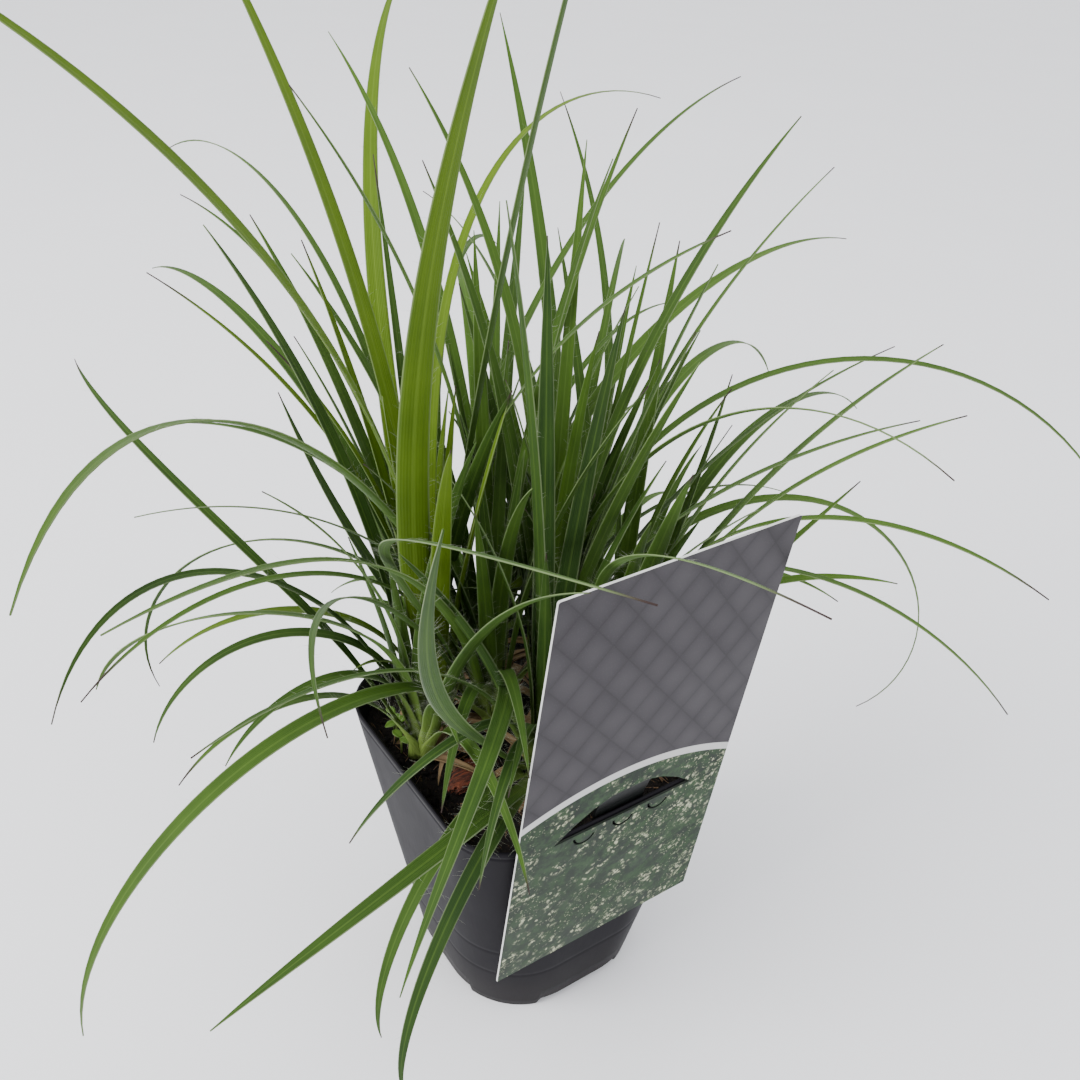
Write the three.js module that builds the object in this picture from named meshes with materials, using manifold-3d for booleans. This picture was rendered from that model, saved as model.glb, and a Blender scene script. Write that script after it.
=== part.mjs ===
// Potted snowy woodrush: a clump of leafy shoots in a rounded-square nursery pot, with its hanging label.
// Millimetres, +Z up. The origin is the middle of the pot's underside, and the label's face looks along -Y.
import * as THREE from "three";
import { mergeVertices } from "three/addons/utils/BufferGeometryUtils.js";
import Module from "manifold-3d";

// Pot
const POT_HEIGHT = 98;
const POT_TOP_SIDE = 95.8;
const POT_BASE_SIDE = 68.4;
const POT_TOP_CORNER = 20;
const POT_BASE_CORNER = 27;
const WALL_SLOPE = (POT_TOP_SIDE - POT_BASE_SIDE) / 2 / POT_HEIGHT;
const POT_WALL = 1.0;
const POT_FLOOR = 1.2;
const FOOT_HEIGHT = 3;
const FOOT_GAP = 30;
const PAD_RADIUS = 9;
const DRAIN_RADIUS = 4;
const DRAIN_RING = 16;
const DRAIN_COUNT = 4;
const CORNER_STEPS = 6;

// Compost, bark and label
const CLEARANCE = 0.3;
const SOIL_TOP = 88;
const SOIL_CROWN = 2;
const STEM_HOLE_DEPTH = 18;
const BARK = { length: 15, width: 8, thickness: 2.4, x: -29, y: -6, turn: 35 };
const BARK_HEADROOM = 8;
const LABEL_WIDTH = 75;
const LABEL_HEIGHT = 160;
const LABEL_FOOT = 36.5;
const LABEL_CORNER = 0.4;
const LABEL_THICKNESS = 0.7;
const LABEL_GAP = 0.4;
const SLOT_HALF = 25;
const SLOT_RISE = 12;
const SLOT_SAG = 1;
const SLIT_PLACES = [-14, 0, 13];
const SLIT_DROP = 1.5;
const SLIT_RADIUS = 4;
const SLIT_WIDTH = 0.8;
const TONGUE_HALF = 9;
const TONGUE_DEPTH = 8;

// Shoots and their blades
const STEM_RADIUS = 3.6;
const STEM_RISE = 24;
const STEM_SIDES = 8;
const BLADE_THICKNESS = 0.7;
const BLADE_TIP_WIDTH = 0.8;
const BLADE_ROOT_RISE = 3;
const CURVE_STEPS = 48;
const FEWEST_SEGMENTS = 5;
const MOST_SEGMENTS = 11;
const BEND_PER_SEGMENT = 15;
const BEND_POWER = 1.4;
const MOST_TWIST = 25;
const BLADE_GAP = 0.6;
const SHARED_PART = 0.3;
const NEAR = 12;
const FLOOR_GAP = 8;
const GOLDEN_TURN = 137.5;
const SWINGS = [0, 4, -4, 8, -8, 12, -12, 16, -16, 21, -21, 26, -26];
const LIFTS = [0, 4, -4, 8, -8, 12, -12];

// Each shoot: where it stands on the compost, and its leading blades as seen from the front.
// A blade is its turn from +X, its rise at the root and its bend to the tip in degrees, its length and
// width in mm, and its sideways sway in degrees. "filling" is how many shorter blades stand among them.
const SHOOTS = [
  {
    name: "shoot_lime",
    at: [-24, 20],
    colour: 0x7d9a2e,
    filling: 5,
    blades: [
      { turn: 184, rise: 89, length: 275, bend: 66, width: 7.5, sway: -45 },
      { turn: 125, rise: 87, length: 250, bend: 30, width: 7.5 },
      { turn: 90, rise: 74, length: 290, bend: 60, width: 6, sway: -45 },
      { turn: 220, rise: 73, length: 262, bend: 10, width: 8.6, sway: 60 },
      { turn: 80, rise: 89, length: 280, bend: 107, width: 3.2, sway: -75 },
      { turn: 142, rise: 86, length: 172, bend: 55, width: 2.9 },
      { turn: 130, rise: 88, length: 140, bend: 42, width: 2.9 },
    ],
  },
  {
    name: "shoot_left",
    at: [-35, 9],
    colour: 0x4f7033,
    filling: 9,
    blades: [
      { turn: 205, rise: 89, length: 150, bend: 158, width: 5.9, sway: -71 },
      { turn: 155, rise: 88, length: 125, bend: 160, width: 3.7, sway: 30 },
      { turn: 190, rise: 86, length: 100, bend: 140, width: 4.2 },
      { turn: 150, rise: 76, length: 180, bend: 95, width: 2.9, sway: 100 },
      { turn: 172, rise: 68, length: 185, bend: 72, width: 3.4, sway: -90 },
    ],
  },
  {
    name: "shoot_heart",
    at: [-8, 12],
    colour: 0x4c7a35,
    filling: 15,
    blades: [
      { turn: 171, rise: 77, length: 269, bend: 87, width: 5.2, sway: 74 },
      { turn: 206, rise: 55, length: 200, bend: 142, width: 5.9, sway: -22 },
      { turn: 254, rise: 61, length: 162, bend: 118, width: 5.5, sway: -47 },
      { turn: 138, rise: 44, length: 127, bend: -10, width: 5.2, sway: -25 },
      { turn: 220, rise: 67, length: 219, bend: 59, width: 4.3, sway: -9 },
      { turn: 166, rise: 80, length: 156, bend: 82, width: 4 },
      { turn: 142, rise: 80, length: 152, bend: 88, width: 4.2, sway: 20 },
      { turn: 119, rise: 72, length: 185, bend: 180, width: 3.2, sway: 30 },
      { turn: 180, rise: 76, length: 172, bend: 110, width: 3.2, sway: 20 },
      { turn: 175, rise: 64, length: 205, bend: 62, width: 2.9, sway: 70 },
      { turn: 189, rise: 65, length: 250, bend: 56, width: 2.9, sway: 99 },
    ],
  },
  {
    name: "shoot_front",
    at: [-8, -16],
    colour: 0x517d38,
    filling: 8,
    blades: [
      { turn: 226, rise: 34, length: 142, bend: 58, width: 5.8, sway: -46 },
      { turn: 222, rise: 30, length: 128, bend: 134, width: 4.8, sway: -22 },
      { turn: 227, rise: 42, length: 122, bend: 145, width: 4.5, sway: -8 },
      { turn: 212, rise: 67, length: 162, bend: 70, width: 3.4 },
      { turn: 220, rise: 74, length: 108, bend: 126, width: 5.3, sway: -38 },
      { turn: 206, rise: 47, length: 218, bend: -10, width: 5.2, sway: 47 },
      { turn: 232, rise: 70, length: 95, bend: 120, width: 4.9 },
    ],
  },
  {
    name: "shoot_centre",
    at: [12, 12],
    colour: 0x48733a,
    filling: 17,
    blades: [
      { turn: 347, rise: 85, length: 201, bend: 36, width: 5.4 },
      { turn: 9, rise: 61, length: 247, bend: 195, width: 4.2, sway: -68 },
      { turn: 355, rise: 89, length: 249, bend: 142, width: 3.4, sway: -60 },
      { turn: 286, rise: 76, length: 165, bend: 64, width: 4.9, sway: 45 },
      { turn: 52, rise: 68, length: 186, bend: 40, width: 3.4 },
      { turn: 44, rise: 70, length: 218, bend: 88, width: 3.4, sway: 10 },
      { turn: 335, rise: 62, length: 114, bend: 0, width: 3.7 },
      { turn: 115, rise: 85, length: 178, bend: 24, width: 5.4 },
      { turn: 77, rise: 89, length: 204, bend: 36, width: 4.7, sway: 46 },
      { turn: 300, rise: 88, length: 218, bend: 96, width: 2.9, sway: -40 },
      { turn: 292, rise: 74, length: 187, bend: 119, width: 2.9 },
    ],
  },
  {
    name: "shoot_right",
    at: [28, -2],
    colour: 0x5b8a3a,
    filling: 13,
    blades: [
      { turn: 325, rise: 72, length: 160, bend: 34, width: 5.6 },
      { turn: 280, rise: 82, length: 185, bend: 100, width: 3.4 },
      { turn: 320, rise: 54, length: 115, bend: 0, width: 4.2 },
      { turn: 345, rise: 88, length: 120, bend: 30, width: 3.7 },
      { turn: 332, rise: 70, length: 120, bend: -8, width: 4.2 },
      { turn: 10, rise: 78, length: 180, bend: 120, width: 4.7 },
      { turn: 215, rise: 64, length: 229, bend: 50, width: 2.9, sway: 48 },
    ],
  },
  {
    name: "shoot_back",
    at: [4, 34],
    colour: 0x4a7536,
    filling: 15,
    blades: [
      { turn: 355, rise: 82, length: 222, bend: 96, width: 6.6, sway: 8 },
      { turn: 30, rise: 86, length: 176, bend: 104, width: 3.2, sway: -10 },
      { turn: 355, rise: 84, length: 190, bend: 18, width: 4.2 },
      { turn: 88, rise: 87, length: 224, bend: 56, width: 4.2, sway: 6 },
      { turn: 125, rise: 88, length: 204, bend: 34, width: 4.2, sway: 20 },
      { turn: 65, rise: 80, length: 215, bend: 120, width: 5.4 },
    ],
  },
  {
    name: "shoot_back_right",
    at: [29, 27],
    colour: 0x567f38,
    filling: 15,
    blades: [
      { turn: 342, rise: 81, length: 188, bend: 37, width: 3.7 },
      { turn: 18, rise: 80, length: 154, bend: 2, width: 2.9 },
      { turn: 325, rise: 69, length: 158, bend: 40, width: 3.7 },
      { turn: 55, rise: 65, length: 220, bend: 4, width: 5.6, sway: 34 },
      { turn: 28, rise: 52, length: 216, bend: 5, width: 3.5, sway: 60 },
      { turn: 72, rise: 88, length: 190, bend: 78, width: 3.7, sway: 22 },
      { turn: 20, rise: 76, length: 200, bend: 130, width: 5.4 },
    ],
  },
  {
    name: "shoot_back_left",
    at: [-15, 38],
    colour: 0x426b36,
    filling: 8,
    blades: [
      { turn: 315, rise: 83, length: 272, bend: 8, width: 6.6 },
      { turn: 305, rise: 88, length: 196, bend: 58, width: 5.9 },
      { turn: 93, rise: 78, length: 172, bend: 8, width: 3.4 },
      { turn: 80, rise: 86, length: 262, bend: 110, width: 3.2, sway: 6 },
      { turn: 345, rise: 89, length: 245, bend: 76, width: 3.2 },
      { turn: 100, rise: 86, length: 198, bend: 80, width: 2.9 },
      { turn: 118, rise: 78, length: 210, bend: 100, width: 4.9, sway: -22 },
      { turn: 66, rise: 84, length: 225, bend: 120, width: 3.7, sway: -25 },
    ],
  },
];

const wasm = await Module();
wasm.setup();

// Colours and finishes

const potPlastic = new THREE.MeshStandardMaterial({ color: 0x55535a, roughness: 0.42, metalness: 0 });
const compost = new THREE.MeshStandardMaterial({ color: 0x1d1714, roughness: 0.95, metalness: 0 });
const bark = new THREE.MeshStandardMaterial({ color: 0x6f3422, roughness: 0.85, metalness: 0 });
const labelPlastic = new THREE.MeshStandardMaterial({ color: 0x6e6b70, roughness: 0.5, metalness: 0 });

function leafMaterial(colour) {
  return new THREE.MeshStandardMaterial({ color: colour, roughness: 0.5, metalness: 0 });
}

// Solids and meshes

function toSolid(geometry) {
  const plain = geometry.index ? geometry.toNonIndexed() : geometry.clone();
  plain.deleteAttribute("normal");
  plain.deleteAttribute("uv");
  const merged = mergeVertices(plain, 1e-4);
  return new wasm.Manifold(
    new wasm.Mesh({
      numProp: 3,
      vertProperties: new Float32Array(merged.attributes.position.array),
      triVerts: new Uint32Array(merged.index.array),
    }),
  );
}

function toGeometry(solid) {
  const mesh = solid.getMesh();
  const geometry = new THREE.BufferGeometry();
  const positions = new Float32Array(mesh.numVert * 3);
  for (let i = 0; i < mesh.numVert; i++) {
    positions.set(mesh.vertProperties.subarray(i * mesh.numProp, i * mesh.numProp + 3), i * 3);
  }
  geometry.setAttribute("position", new THREE.BufferAttribute(positions, 3));
  geometry.setIndex(new THREE.BufferAttribute(new Uint32Array(mesh.triVerts), 1));
  geometry.computeVertexNormals();
  return geometry;
}

function named(name, geometry, material) {
  const mesh = new THREE.Mesh(geometry, material);
  mesh.name = name;
  return mesh;
}

function mix(a, b, t) {
  return a + (b - a) * t;
}

// A closed loop of points round a square with round corners, at one height.
function roundedSquare(side, corner, z) {
  const loop = [];
  const centre = side / 2 - corner;
  const signs = [[1, 1], [-1, 1], [-1, -1], [1, -1]];
  signs.forEach(([sx, sy], quarter) => {
    for (let i = 0; i <= CORNER_STEPS; i++) {
      const angle = (quarter + i / CORNER_STEPS) * (Math.PI / 2);
      loop.push([sx * centre + corner * Math.cos(angle), sy * centre + corner * Math.sin(angle), z]);
    }
  });
  return loop;
}

// A solid skinned over a stack of loops with equal numbers of points, closed with a flat cap at each end.
function skin(loops) {
  const count = loops[0].length;
  const positions = loops.flat(2);
  const middles = [loops[0], loops[loops.length - 1]].map((loop) => {
    const sum = loop.reduce((a, p) => [a[0] + p[0], a[1] + p[1], a[2] + p[2]], [0, 0, 0]);
    return sum.map((value) => value / count);
  });
  const first = loops.length * count;
  positions.push(...middles[0], ...middles[1]);
  const index = [];
  for (let row = 0; row < loops.length - 1; row++) {
    for (let i = 0; i < count; i++) {
      const next = (i + 1) % count;
      const a = row * count + i;
      const b = row * count + next;
      index.push(a, b, b + count, a, b + count, a + count);
    }
  }
  const last = (loops.length - 1) * count;
  for (let i = 0; i < count; i++) {
    const next = (i + 1) % count;
    index.push(first, next, i, first + 1, last + i, last + next);
  }
  const geometry = new THREE.BufferGeometry();
  geometry.setAttribute("position", new THREE.BufferAttribute(new Float32Array(positions), 3));
  geometry.setIndex(index);
  return geometry;
}

// Pot: a tapered thin shell on four corner feet and a middle pad, with drainage holes in its floor.

function potLoop(z, inset) {
  const t = z / POT_HEIGHT;
  const side = mix(POT_BASE_SIDE, POT_TOP_SIDE, t) - 2 * inset;
  const corner = mix(POT_BASE_CORNER, POT_TOP_CORNER, t) - inset;
  return roundedSquare(side, corner, z);
}

function makePot() {
  const floorTop = FOOT_HEIGHT + POT_FLOOR;
  const above = POT_HEIGHT + 1;
  let pot = toSolid(skin([potLoop(0, 0), potLoop(POT_HEIGHT, 0)]));
  pot = pot.subtract(toSolid(skin([potLoop(floorTop, POT_WALL), potLoop(above, POT_WALL)])));
  const pad = new THREE.CylinderGeometry(PAD_RADIUS, PAD_RADIUS, 4 * FOOT_HEIGHT, 24);
  pad.rotateX(Math.PI / 2);
  for (const turn of [0, Math.PI / 2]) {
    const gap = new THREE.BoxGeometry(FOOT_GAP, POT_TOP_SIDE, 2 * FOOT_HEIGHT);
    gap.rotateZ(turn);
    pot = pot.subtract(toSolid(gap).subtract(toSolid(pad)));
  }
  for (let i = 0; i < DRAIN_COUNT; i++) {
    const angle = ((i + 0.5) / DRAIN_COUNT) * 2 * Math.PI;
    const hole = new THREE.CylinderGeometry(DRAIN_RADIUS, DRAIN_RADIUS, 4 * floorTop, 16);
    hole.rotateX(Math.PI / 2);
    hole.translate(DRAIN_RING * Math.cos(angle), DRAIN_RING * Math.sin(angle), 0);
    pot = pot.subtract(toSolid(hole));
  }
  return named("pot", toGeometry(pot), potPlastic);
}

// Compost: fills the pot to a centimetre below its rim, slightly crowned, with a plain hole for each shoot.

function makeSoil() {
  const low = FOOT_HEIGHT + POT_FLOOR + CLEARANCE;
  const inset = POT_WALL + CLEARANCE;
  const crown = potLoop(SOIL_TOP, inset + 12).map(([x, y]) => [x, y, SOIL_TOP + 0.7 * SOIL_CROWN]);
  const shoulder = potLoop(SOIL_TOP - SOIL_CROWN, inset);
  let soil = toSolid(skin([potLoop(low, inset), shoulder, crown]));
  for (const shoot of SHOOTS) {
    const radius = STEM_RADIUS + CLEARANCE + 0.2;
    const hole = new THREE.CylinderGeometry(radius, radius, 2 * STEM_HOLE_DEPTH, 12);
    hole.rotateX(Math.PI / 2);
    hole.translate(shoot.at[0], shoot.at[1], SOIL_TOP);
    soil = soil.subtract(toSolid(hole));
  }
  return named("compost", toGeometry(soil), compost);
}

// Bark chip: a short split flake lying on the compost.

function makeBark() {
  const outline = new THREE.Shape();
  outline.moveTo(-BARK.length / 2, -BARK.width * 0.1);
  outline.lineTo(-BARK.length * 0.3, -BARK.width * 0.42);
  outline.lineTo(BARK.length * 0.25, -BARK.width / 2);
  outline.lineTo(BARK.length / 2, -BARK.width * 0.15);
  outline.lineTo(BARK.length * 0.42, BARK.width * 0.3);
  outline.lineTo(-BARK.length * 0.1, BARK.width / 2);
  outline.lineTo(-BARK.length * 0.42, BARK.width * 0.25);
  outline.closePath();
  const bevel = 0.5;
  const chip = new THREE.ExtrudeGeometry(outline, {
    depth: BARK.thickness - 2 * bevel,
    bevelThickness: bevel,
    bevelSize: bevel,
    bevelSegments: 1,
  });
  const mesh = named("bark_chip", toGeometry(toSolid(chip)), bark);
  mesh.position.set(BARK.x, BARK.y, SOIL_TOP + SOIL_CROWN + CLEARANCE);
  mesh.rotation.z = THREE.MathUtils.degToRad(BARK.turn);
  return mesh;
}

// Label: one flat thin plastic sheet that lies along the sloping wall and stands up past the rim.
// Its tongue is cut free along the slot's arch, and hooks over the rim to hang inside the pot.

function makeLabel() {
  const slope = Math.atan(WALL_SLOPE);
  const rim = POT_HEIGHT / Math.cos(slope);
  const outline = new THREE.Shape();
  const half = LABEL_WIDTH / 2;
  const head = LABEL_FOOT + LABEL_HEIGHT;
  outline.moveTo(-half, LABEL_FOOT);
  outline.lineTo(half, LABEL_FOOT);
  outline.lineTo(half, head - LABEL_CORNER);
  outline.lineTo(half - LABEL_CORNER, head);
  outline.lineTo(-half + LABEL_CORNER, head);
  outline.lineTo(-half, head - LABEL_CORNER);
  outline.closePath();
  let sheet = toSolid(new THREE.ExtrudeGeometry(outline, { depth: LABEL_THICKNESS, bevelEnabled: false }));
  const slotFoot = rim - SLOT_SAG;
  const slot = new THREE.Shape();
  slot.moveTo(-SLOT_HALF, slotFoot);
  slot.lineTo(SLOT_HALF, slotFoot);
  slot.quadraticCurveTo(0, rim + 2 * SLOT_RISE, -SLOT_HALF, slotFoot);
  const cuts = [slot];
  for (const x of SLIT_PLACES) {
    const slit = new THREE.Shape();
    slit.absarc(x, slotFoot - SLIT_DROP, SLIT_RADIUS, Math.PI, 1.9 * Math.PI, false);
    slit.absarc(x, slotFoot - SLIT_DROP, SLIT_RADIUS - SLIT_WIDTH, 1.9 * Math.PI, Math.PI, true);
    cuts.push(slit);
  }
  for (const cut of cuts) {
    const deep = { depth: 3 * LABEL_THICKNESS, bevelEnabled: false, curveSegments: 8 };
    const punch = new THREE.ExtrudeGeometry(cut, deep);
    punch.translate(0, 0, -LABEL_THICKNESS);
    sheet = sheet.subtract(toSolid(punch));
  }

  // The tongue in section: off the sheet above the slot, over the rim, and down inside the wall.
  const root = rim + SLOT_RISE - 1.2;
  const inside = -(POT_WALL + 2 * CLEARANCE + LABEL_GAP);
  const section = new THREE.Shape();
  section.moveTo(0, root);
  section.lineTo(LABEL_THICKNESS, root);
  section.lineTo(LABEL_THICKNESS, root + 4.5);
  section.lineTo(inside - LABEL_THICKNESS, rim + 1.5);
  section.lineTo(inside - LABEL_THICKNESS, rim - TONGUE_DEPTH);
  section.lineTo(inside, rim - TONGUE_DEPTH);
  section.lineTo(inside, rim + 1.2);
  section.closePath();
  const hook = new THREE.ExtrudeGeometry(section, { depth: 2 * TONGUE_HALF, bevelEnabled: false });
  hook.rotateY(-Math.PI / 2);
  hook.translate(TONGUE_HALF, 0, 0);
  const mesh = named("label", toGeometry(sheet.add(toSolid(hook))), labelPlastic);
  mesh.rotation.x = Math.PI / 2 + slope;
  mesh.position.y = -(POT_BASE_SIDE / 2 + LABEL_GAP / Math.cos(slope));
  return mesh;
}

// Blades

function randomSource(seed) {
  let state = seed;
  return () => {
    state = (state * 16807) % 2147483647;
    return state / 2147483647;
  };
}

// The centre line of a blade: it leaves the shoot at its rise, and bends over more and more towards the tip.
function bladeCurve(shoot, blade) {
  const points = [[shoot.at[0], shoot.at[1], SOIL_TOP + BLADE_ROOT_RISE]];
  const directions = [];
  const step = blade.length / CURVE_STEPS;
  for (let i = 0; i < CURVE_STEPS; i++) {
    const s = (i + 0.5) / CURVE_STEPS;
    const rise = THREE.MathUtils.degToRad(blade.rise - blade.bend * s ** BEND_POWER);
    const turn = THREE.MathUtils.degToRad(blade.turn + (blade.sway ?? 0) * s);
    const along = [Math.cos(rise) * Math.cos(turn), Math.cos(rise) * Math.sin(turn), Math.sin(rise)];
    const from = points[i];
    points.push([from[0] + along[0] * step, from[1] + along[1] * step, from[2] + along[2] * step]);
    directions.push({ rise, turn });
  }
  directions.push(directions[CURVE_STEPS - 1]);
  return { points, directions };
}

// Half the blade's width at a share s of its length: narrow at the root, widest low down, then a long point.
function halfWidth(blade, s) {
  const root = Math.min(1, 0.55 + 1.4 * s);
  const taper = (1 - s ** 2.2) ** 0.9;
  return Math.max(BLADE_TIP_WIDTH, blade.width * root * taper) / 2;
}

// Unit vectors across the blade and out of its upper face, at one step of its curve.
function bladeFrame(curve, blade, i) {
  const { rise, turn } = curve.directions[i];
  const roll = THREE.MathUtils.degToRad(blade.twist * (i / CURVE_STEPS));
  const level = new THREE.Vector3(Math.cos(turn), Math.sin(turn), 0);
  const along = level.multiplyScalar(Math.cos(rise)).setZ(Math.sin(rise));
  const across = new THREE.Vector3(-Math.sin(turn), Math.cos(turn), 0).applyAxisAngle(along, roll);
  const up = new THREE.Vector3().crossVectors(along, across);
  return { across, up };
}

// A blade as a solid: a thin flat strip of few segments, closed at both ends. It starts at the root or
// further out, and "padding" makes it thicker and wider all round, for the tests that keep blades apart.
function bladeSolid(curve, blade, start = 0, padding = 0) {
  const winding = Math.abs(blade.bend) + Math.abs(blade.sway ?? 0);
  const wanted = FEWEST_SEGMENTS + Math.floor(winding / BEND_PER_SEGMENT / 2);
  const segments = Math.min(MOST_SEGMENTS, wanted);
  const positions = [];
  for (let row = 0; row <= segments; row++) {
    const i = Math.round(mix(start, 1, row / segments) * CURVE_STEPS);
    const { across, up } = bladeFrame(curve, blade, i);
    const half = halfWidth(blade, i / CURVE_STEPS) + padding;
    for (const [side, face] of [[-1, -1], [1, -1], [1, 1], [-1, 1]]) {
      const corner = new THREE.Vector3(...curve.points[i]);
      corner.addScaledVector(across, side * half);
      corner.addScaledVector(up, face * (BLADE_THICKNESS / 2 + padding));
      positions.push(corner.x, corner.y, corner.z);
    }
  }
  const index = [0, 2, 1, 0, 3, 2];
  for (let row = 0; row < segments; row++) {
    const a = 4 * row;
    // Lower face, right edge, upper face, left edge, with the two faces split along the same diagonal.
    index.push(a, a + 1, a + 5, a, a + 5, a + 4);
    index.push(a + 1, a + 2, a + 6, a + 1, a + 6, a + 5);
    index.push(a + 3, a + 6, a + 2, a + 3, a + 7, a + 6);
    index.push(a + 3, a, a + 4, a + 3, a + 4, a + 7);
  }
  const end = 4 * segments;
  index.push(end, end + 1, end + 2, end, end + 2, end + 3);
  const geometry = new THREE.BufferGeometry();
  geometry.setAttribute("position", new THREE.BufferAttribute(new Float32Array(positions), 3));
  geometry.setIndex(index);
  return toSolid(geometry);
}

// Keeping blades apart: each is sampled by points along its middle and edges.

function bladeSamples(curve, blade) {
  const samples = [];
  for (let i = 0; i <= CURVE_STEPS; i++) {
    const { across } = bladeFrame(curve, blade, i);
    const half = halfWidth(blade, i / CURVE_STEPS);
    const [x, y, z] = curve.points[i];
    for (const side of [-1, 0, 1]) {
      const reach = side * half;
      samples.push([x + across.x * reach, y + across.y * reach, z + across.z * reach]);
    }
  }
  return samples;
}

// True where two centre lines come nearer than the distance at which their blades could touch.
function near(points, others) {
  const squared = (p, q) => (p[0] - q[0]) ** 2 + (p[1] - q[1]) ** 2 + (p[2] - q[2]) ** 2;
  return points.some((p) => others.some((q) => squared(p, q) < NEAR * NEAR));
}

function crosses(a, b) {
  return a.intersect(b).volume() > 0;
}

// True where a blade would run into the pot, the compost, the floor or another shoot's stem, or would
// touch the label or hang before its face.
function hitsSurroundings(samples, shoot) {
  const labelHead = LABEL_FOOT + LABEL_HEIGHT;
  return samples.some(([x, y, z], i) => {
    const reach = Math.max(Math.abs(x), Math.abs(y));
    const wall = POT_BASE_SIDE / 2 + WALL_SLOPE * z;
    if (z < FLOOR_GAP) return true;
    if (z < POT_HEIGHT + 2 && reach > wall - 4 && reach < wall + 2) return true;
    if (reach < wall && z < SOIL_TOP + SOIL_CROWN + 1.5 && i > 6) return true;
    const chip = Math.hypot(x - BARK.x, y - BARK.y);
    if (chip < BARK.length / 2 + 2 && z < SOIL_TOP + BARK_HEADROOM) return true;
    const onLabel = Math.abs(x) < LABEL_WIDTH / 2 + 2 && z > LABEL_FOOT - 3 && z < labelHead + 1;
    if (onLabel && -y > wall - 1.5) return true;
    if (z > SOIL_TOP + STEM_RISE + 2) return false;
    return SHOOTS.some(({ at }) => at !== shoot.at && Math.hypot(x - at[0], y - at[1]) < STEM_RADIUS + 1.2);
  });
}

// Turns and raises a blade by the least amount that brings it clear of everything placed before it.
// Blades of one shoot may share their lower part, where they are sheathed in each other.
function settle(shoot, blade, placed) {
  for (const lift of LIFTS) {
    for (const swing of SWINGS) {
      const tried = { ...blade, turn: blade.turn + swing, rise: Math.min(89, blade.rise + lift) };
      const curve = bladeCurve(shoot, tried);
      const samples = bladeSamples(curve, tried);
      if (hitsSurroundings(samples, shoot)) continue;
      const whole = bladeSolid(curve, tried, 0, BLADE_GAP);
      const outer = bladeSolid(curve, tried, SHARED_PART, BLADE_GAP);
      const blocked = placed.some((other) => {
        if (!near(curve.points, other.points)) return false;
        return other.shoot === shoot ? crosses(outer, other.outer) : crosses(whole, other.solid);
      });
      if (blocked) continue;
      const solid = bladeSolid(curve, tried);
      return { shoot, points: curve.points, solid, outer: bladeSolid(curve, tried, SHARED_PART) };
    }
  }
  return null;
}

// The shorter blades that fill a shoot, turned by the golden angle, with sizes drawn from a seed.
// Two in three stand nearly upright, and the third arches over.
function fillingBlades(shoot, random) {
  return Array.from({ length: shoot.filling }, (_, i) => {
    const arched = i % 3 === 2;
    return {
      turn: shoot.blades[0].turn + 60 + GOLDEN_TURN * i + 20 * random(),
      rise: arched ? 66 + 14 * random() : 77 + 11 * random(),
      length: arched ? 75 + 60 * random() : 105 + 80 * random(),
      bend: arched ? 70 + 60 * random() : 5 + 40 * random(),
      width: arched ? 3.2 + 2 * random() : 3.6 + 3 * random(),
    };
  });
}

function placeBlades() {
  const random = randomSource(4711);
  const placed = [];
  const waiting = [];
  for (const shoot of SHOOTS) {
    for (const blade of shoot.blades) waiting.push([shoot, blade]);
  }
  for (const shoot of SHOOTS) {
    for (const blade of fillingBlades(shoot, random)) waiting.push([shoot, blade]);
  }
  for (const [shoot, blade] of waiting) {
    const twist = MOST_TWIST * (2 * random() - 1);
    const settled = settle(shoot, { ...blade, twist }, placed);
    if (settled) placed.push(settled);
  }
  return placed;
}

// Shoots: a short round stem of sheaths, standing in its hole in the compost, with its blades fused to it.

function stemSolid([x, y]) {
  const foot = SOIL_TOP - STEM_HOLE_DEPTH + CLEARANCE + 0.5;
  const top = SOIL_TOP + STEM_RISE;
  const profile = [
    new THREE.Vector2(0, foot),
    new THREE.Vector2(STEM_RADIUS, foot),
    new THREE.Vector2(STEM_RADIUS, SOIL_TOP + 6),
    new THREE.Vector2(STEM_RADIUS * 0.75, top - 4),
    new THREE.Vector2(0, top),
  ];
  const stem = new THREE.LatheGeometry(profile, STEM_SIDES);
  stem.rotateX(Math.PI / 2);
  stem.translate(x, y, 0);
  return toSolid(stem);
}

// Fused blades can close off a small pocket between them: it is filled by keeping the outer shell alone.
function makeShoot(shoot, placed) {
  const own = placed.filter((item) => item.shoot === shoot);
  const fused = own.reduce((sum, item) => sum.add(item.solid), stemSolid(shoot.at));
  const outer = fused.decompose().find((body) => body.volume() > 0);
  return named(shoot.name, toGeometry(outer), leafMaterial(shoot.colour));
}

const plant = new THREE.Group();
const blades = placeBlades();
plant.add(makePot(), makeSoil(), makeBark(), makeLabel());
for (const shoot of SHOOTS) plant.add(makeShoot(shoot, blades));

export default plant;
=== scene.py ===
# %% [markdown]
# # A potted snowy woodrush
# A young clump of woodrush stands in a small dark nursery pot, with a printed label hooked over its rim.
# The solids of the plant came first and are loaded here as a fixed frame. Each of them is then dressed:
# the square-edged blades become thin channelled leaves with veins, sheaths and white hairs, the pot gets
# its thin moulded wall, the compost its crumbs, and the label its print.

# %% The frame
import math
import random

import bmesh
import bpy
from mathutils import Euler, Matrix, Vector, noise
from mathutils.kdtree import KDTree


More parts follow.
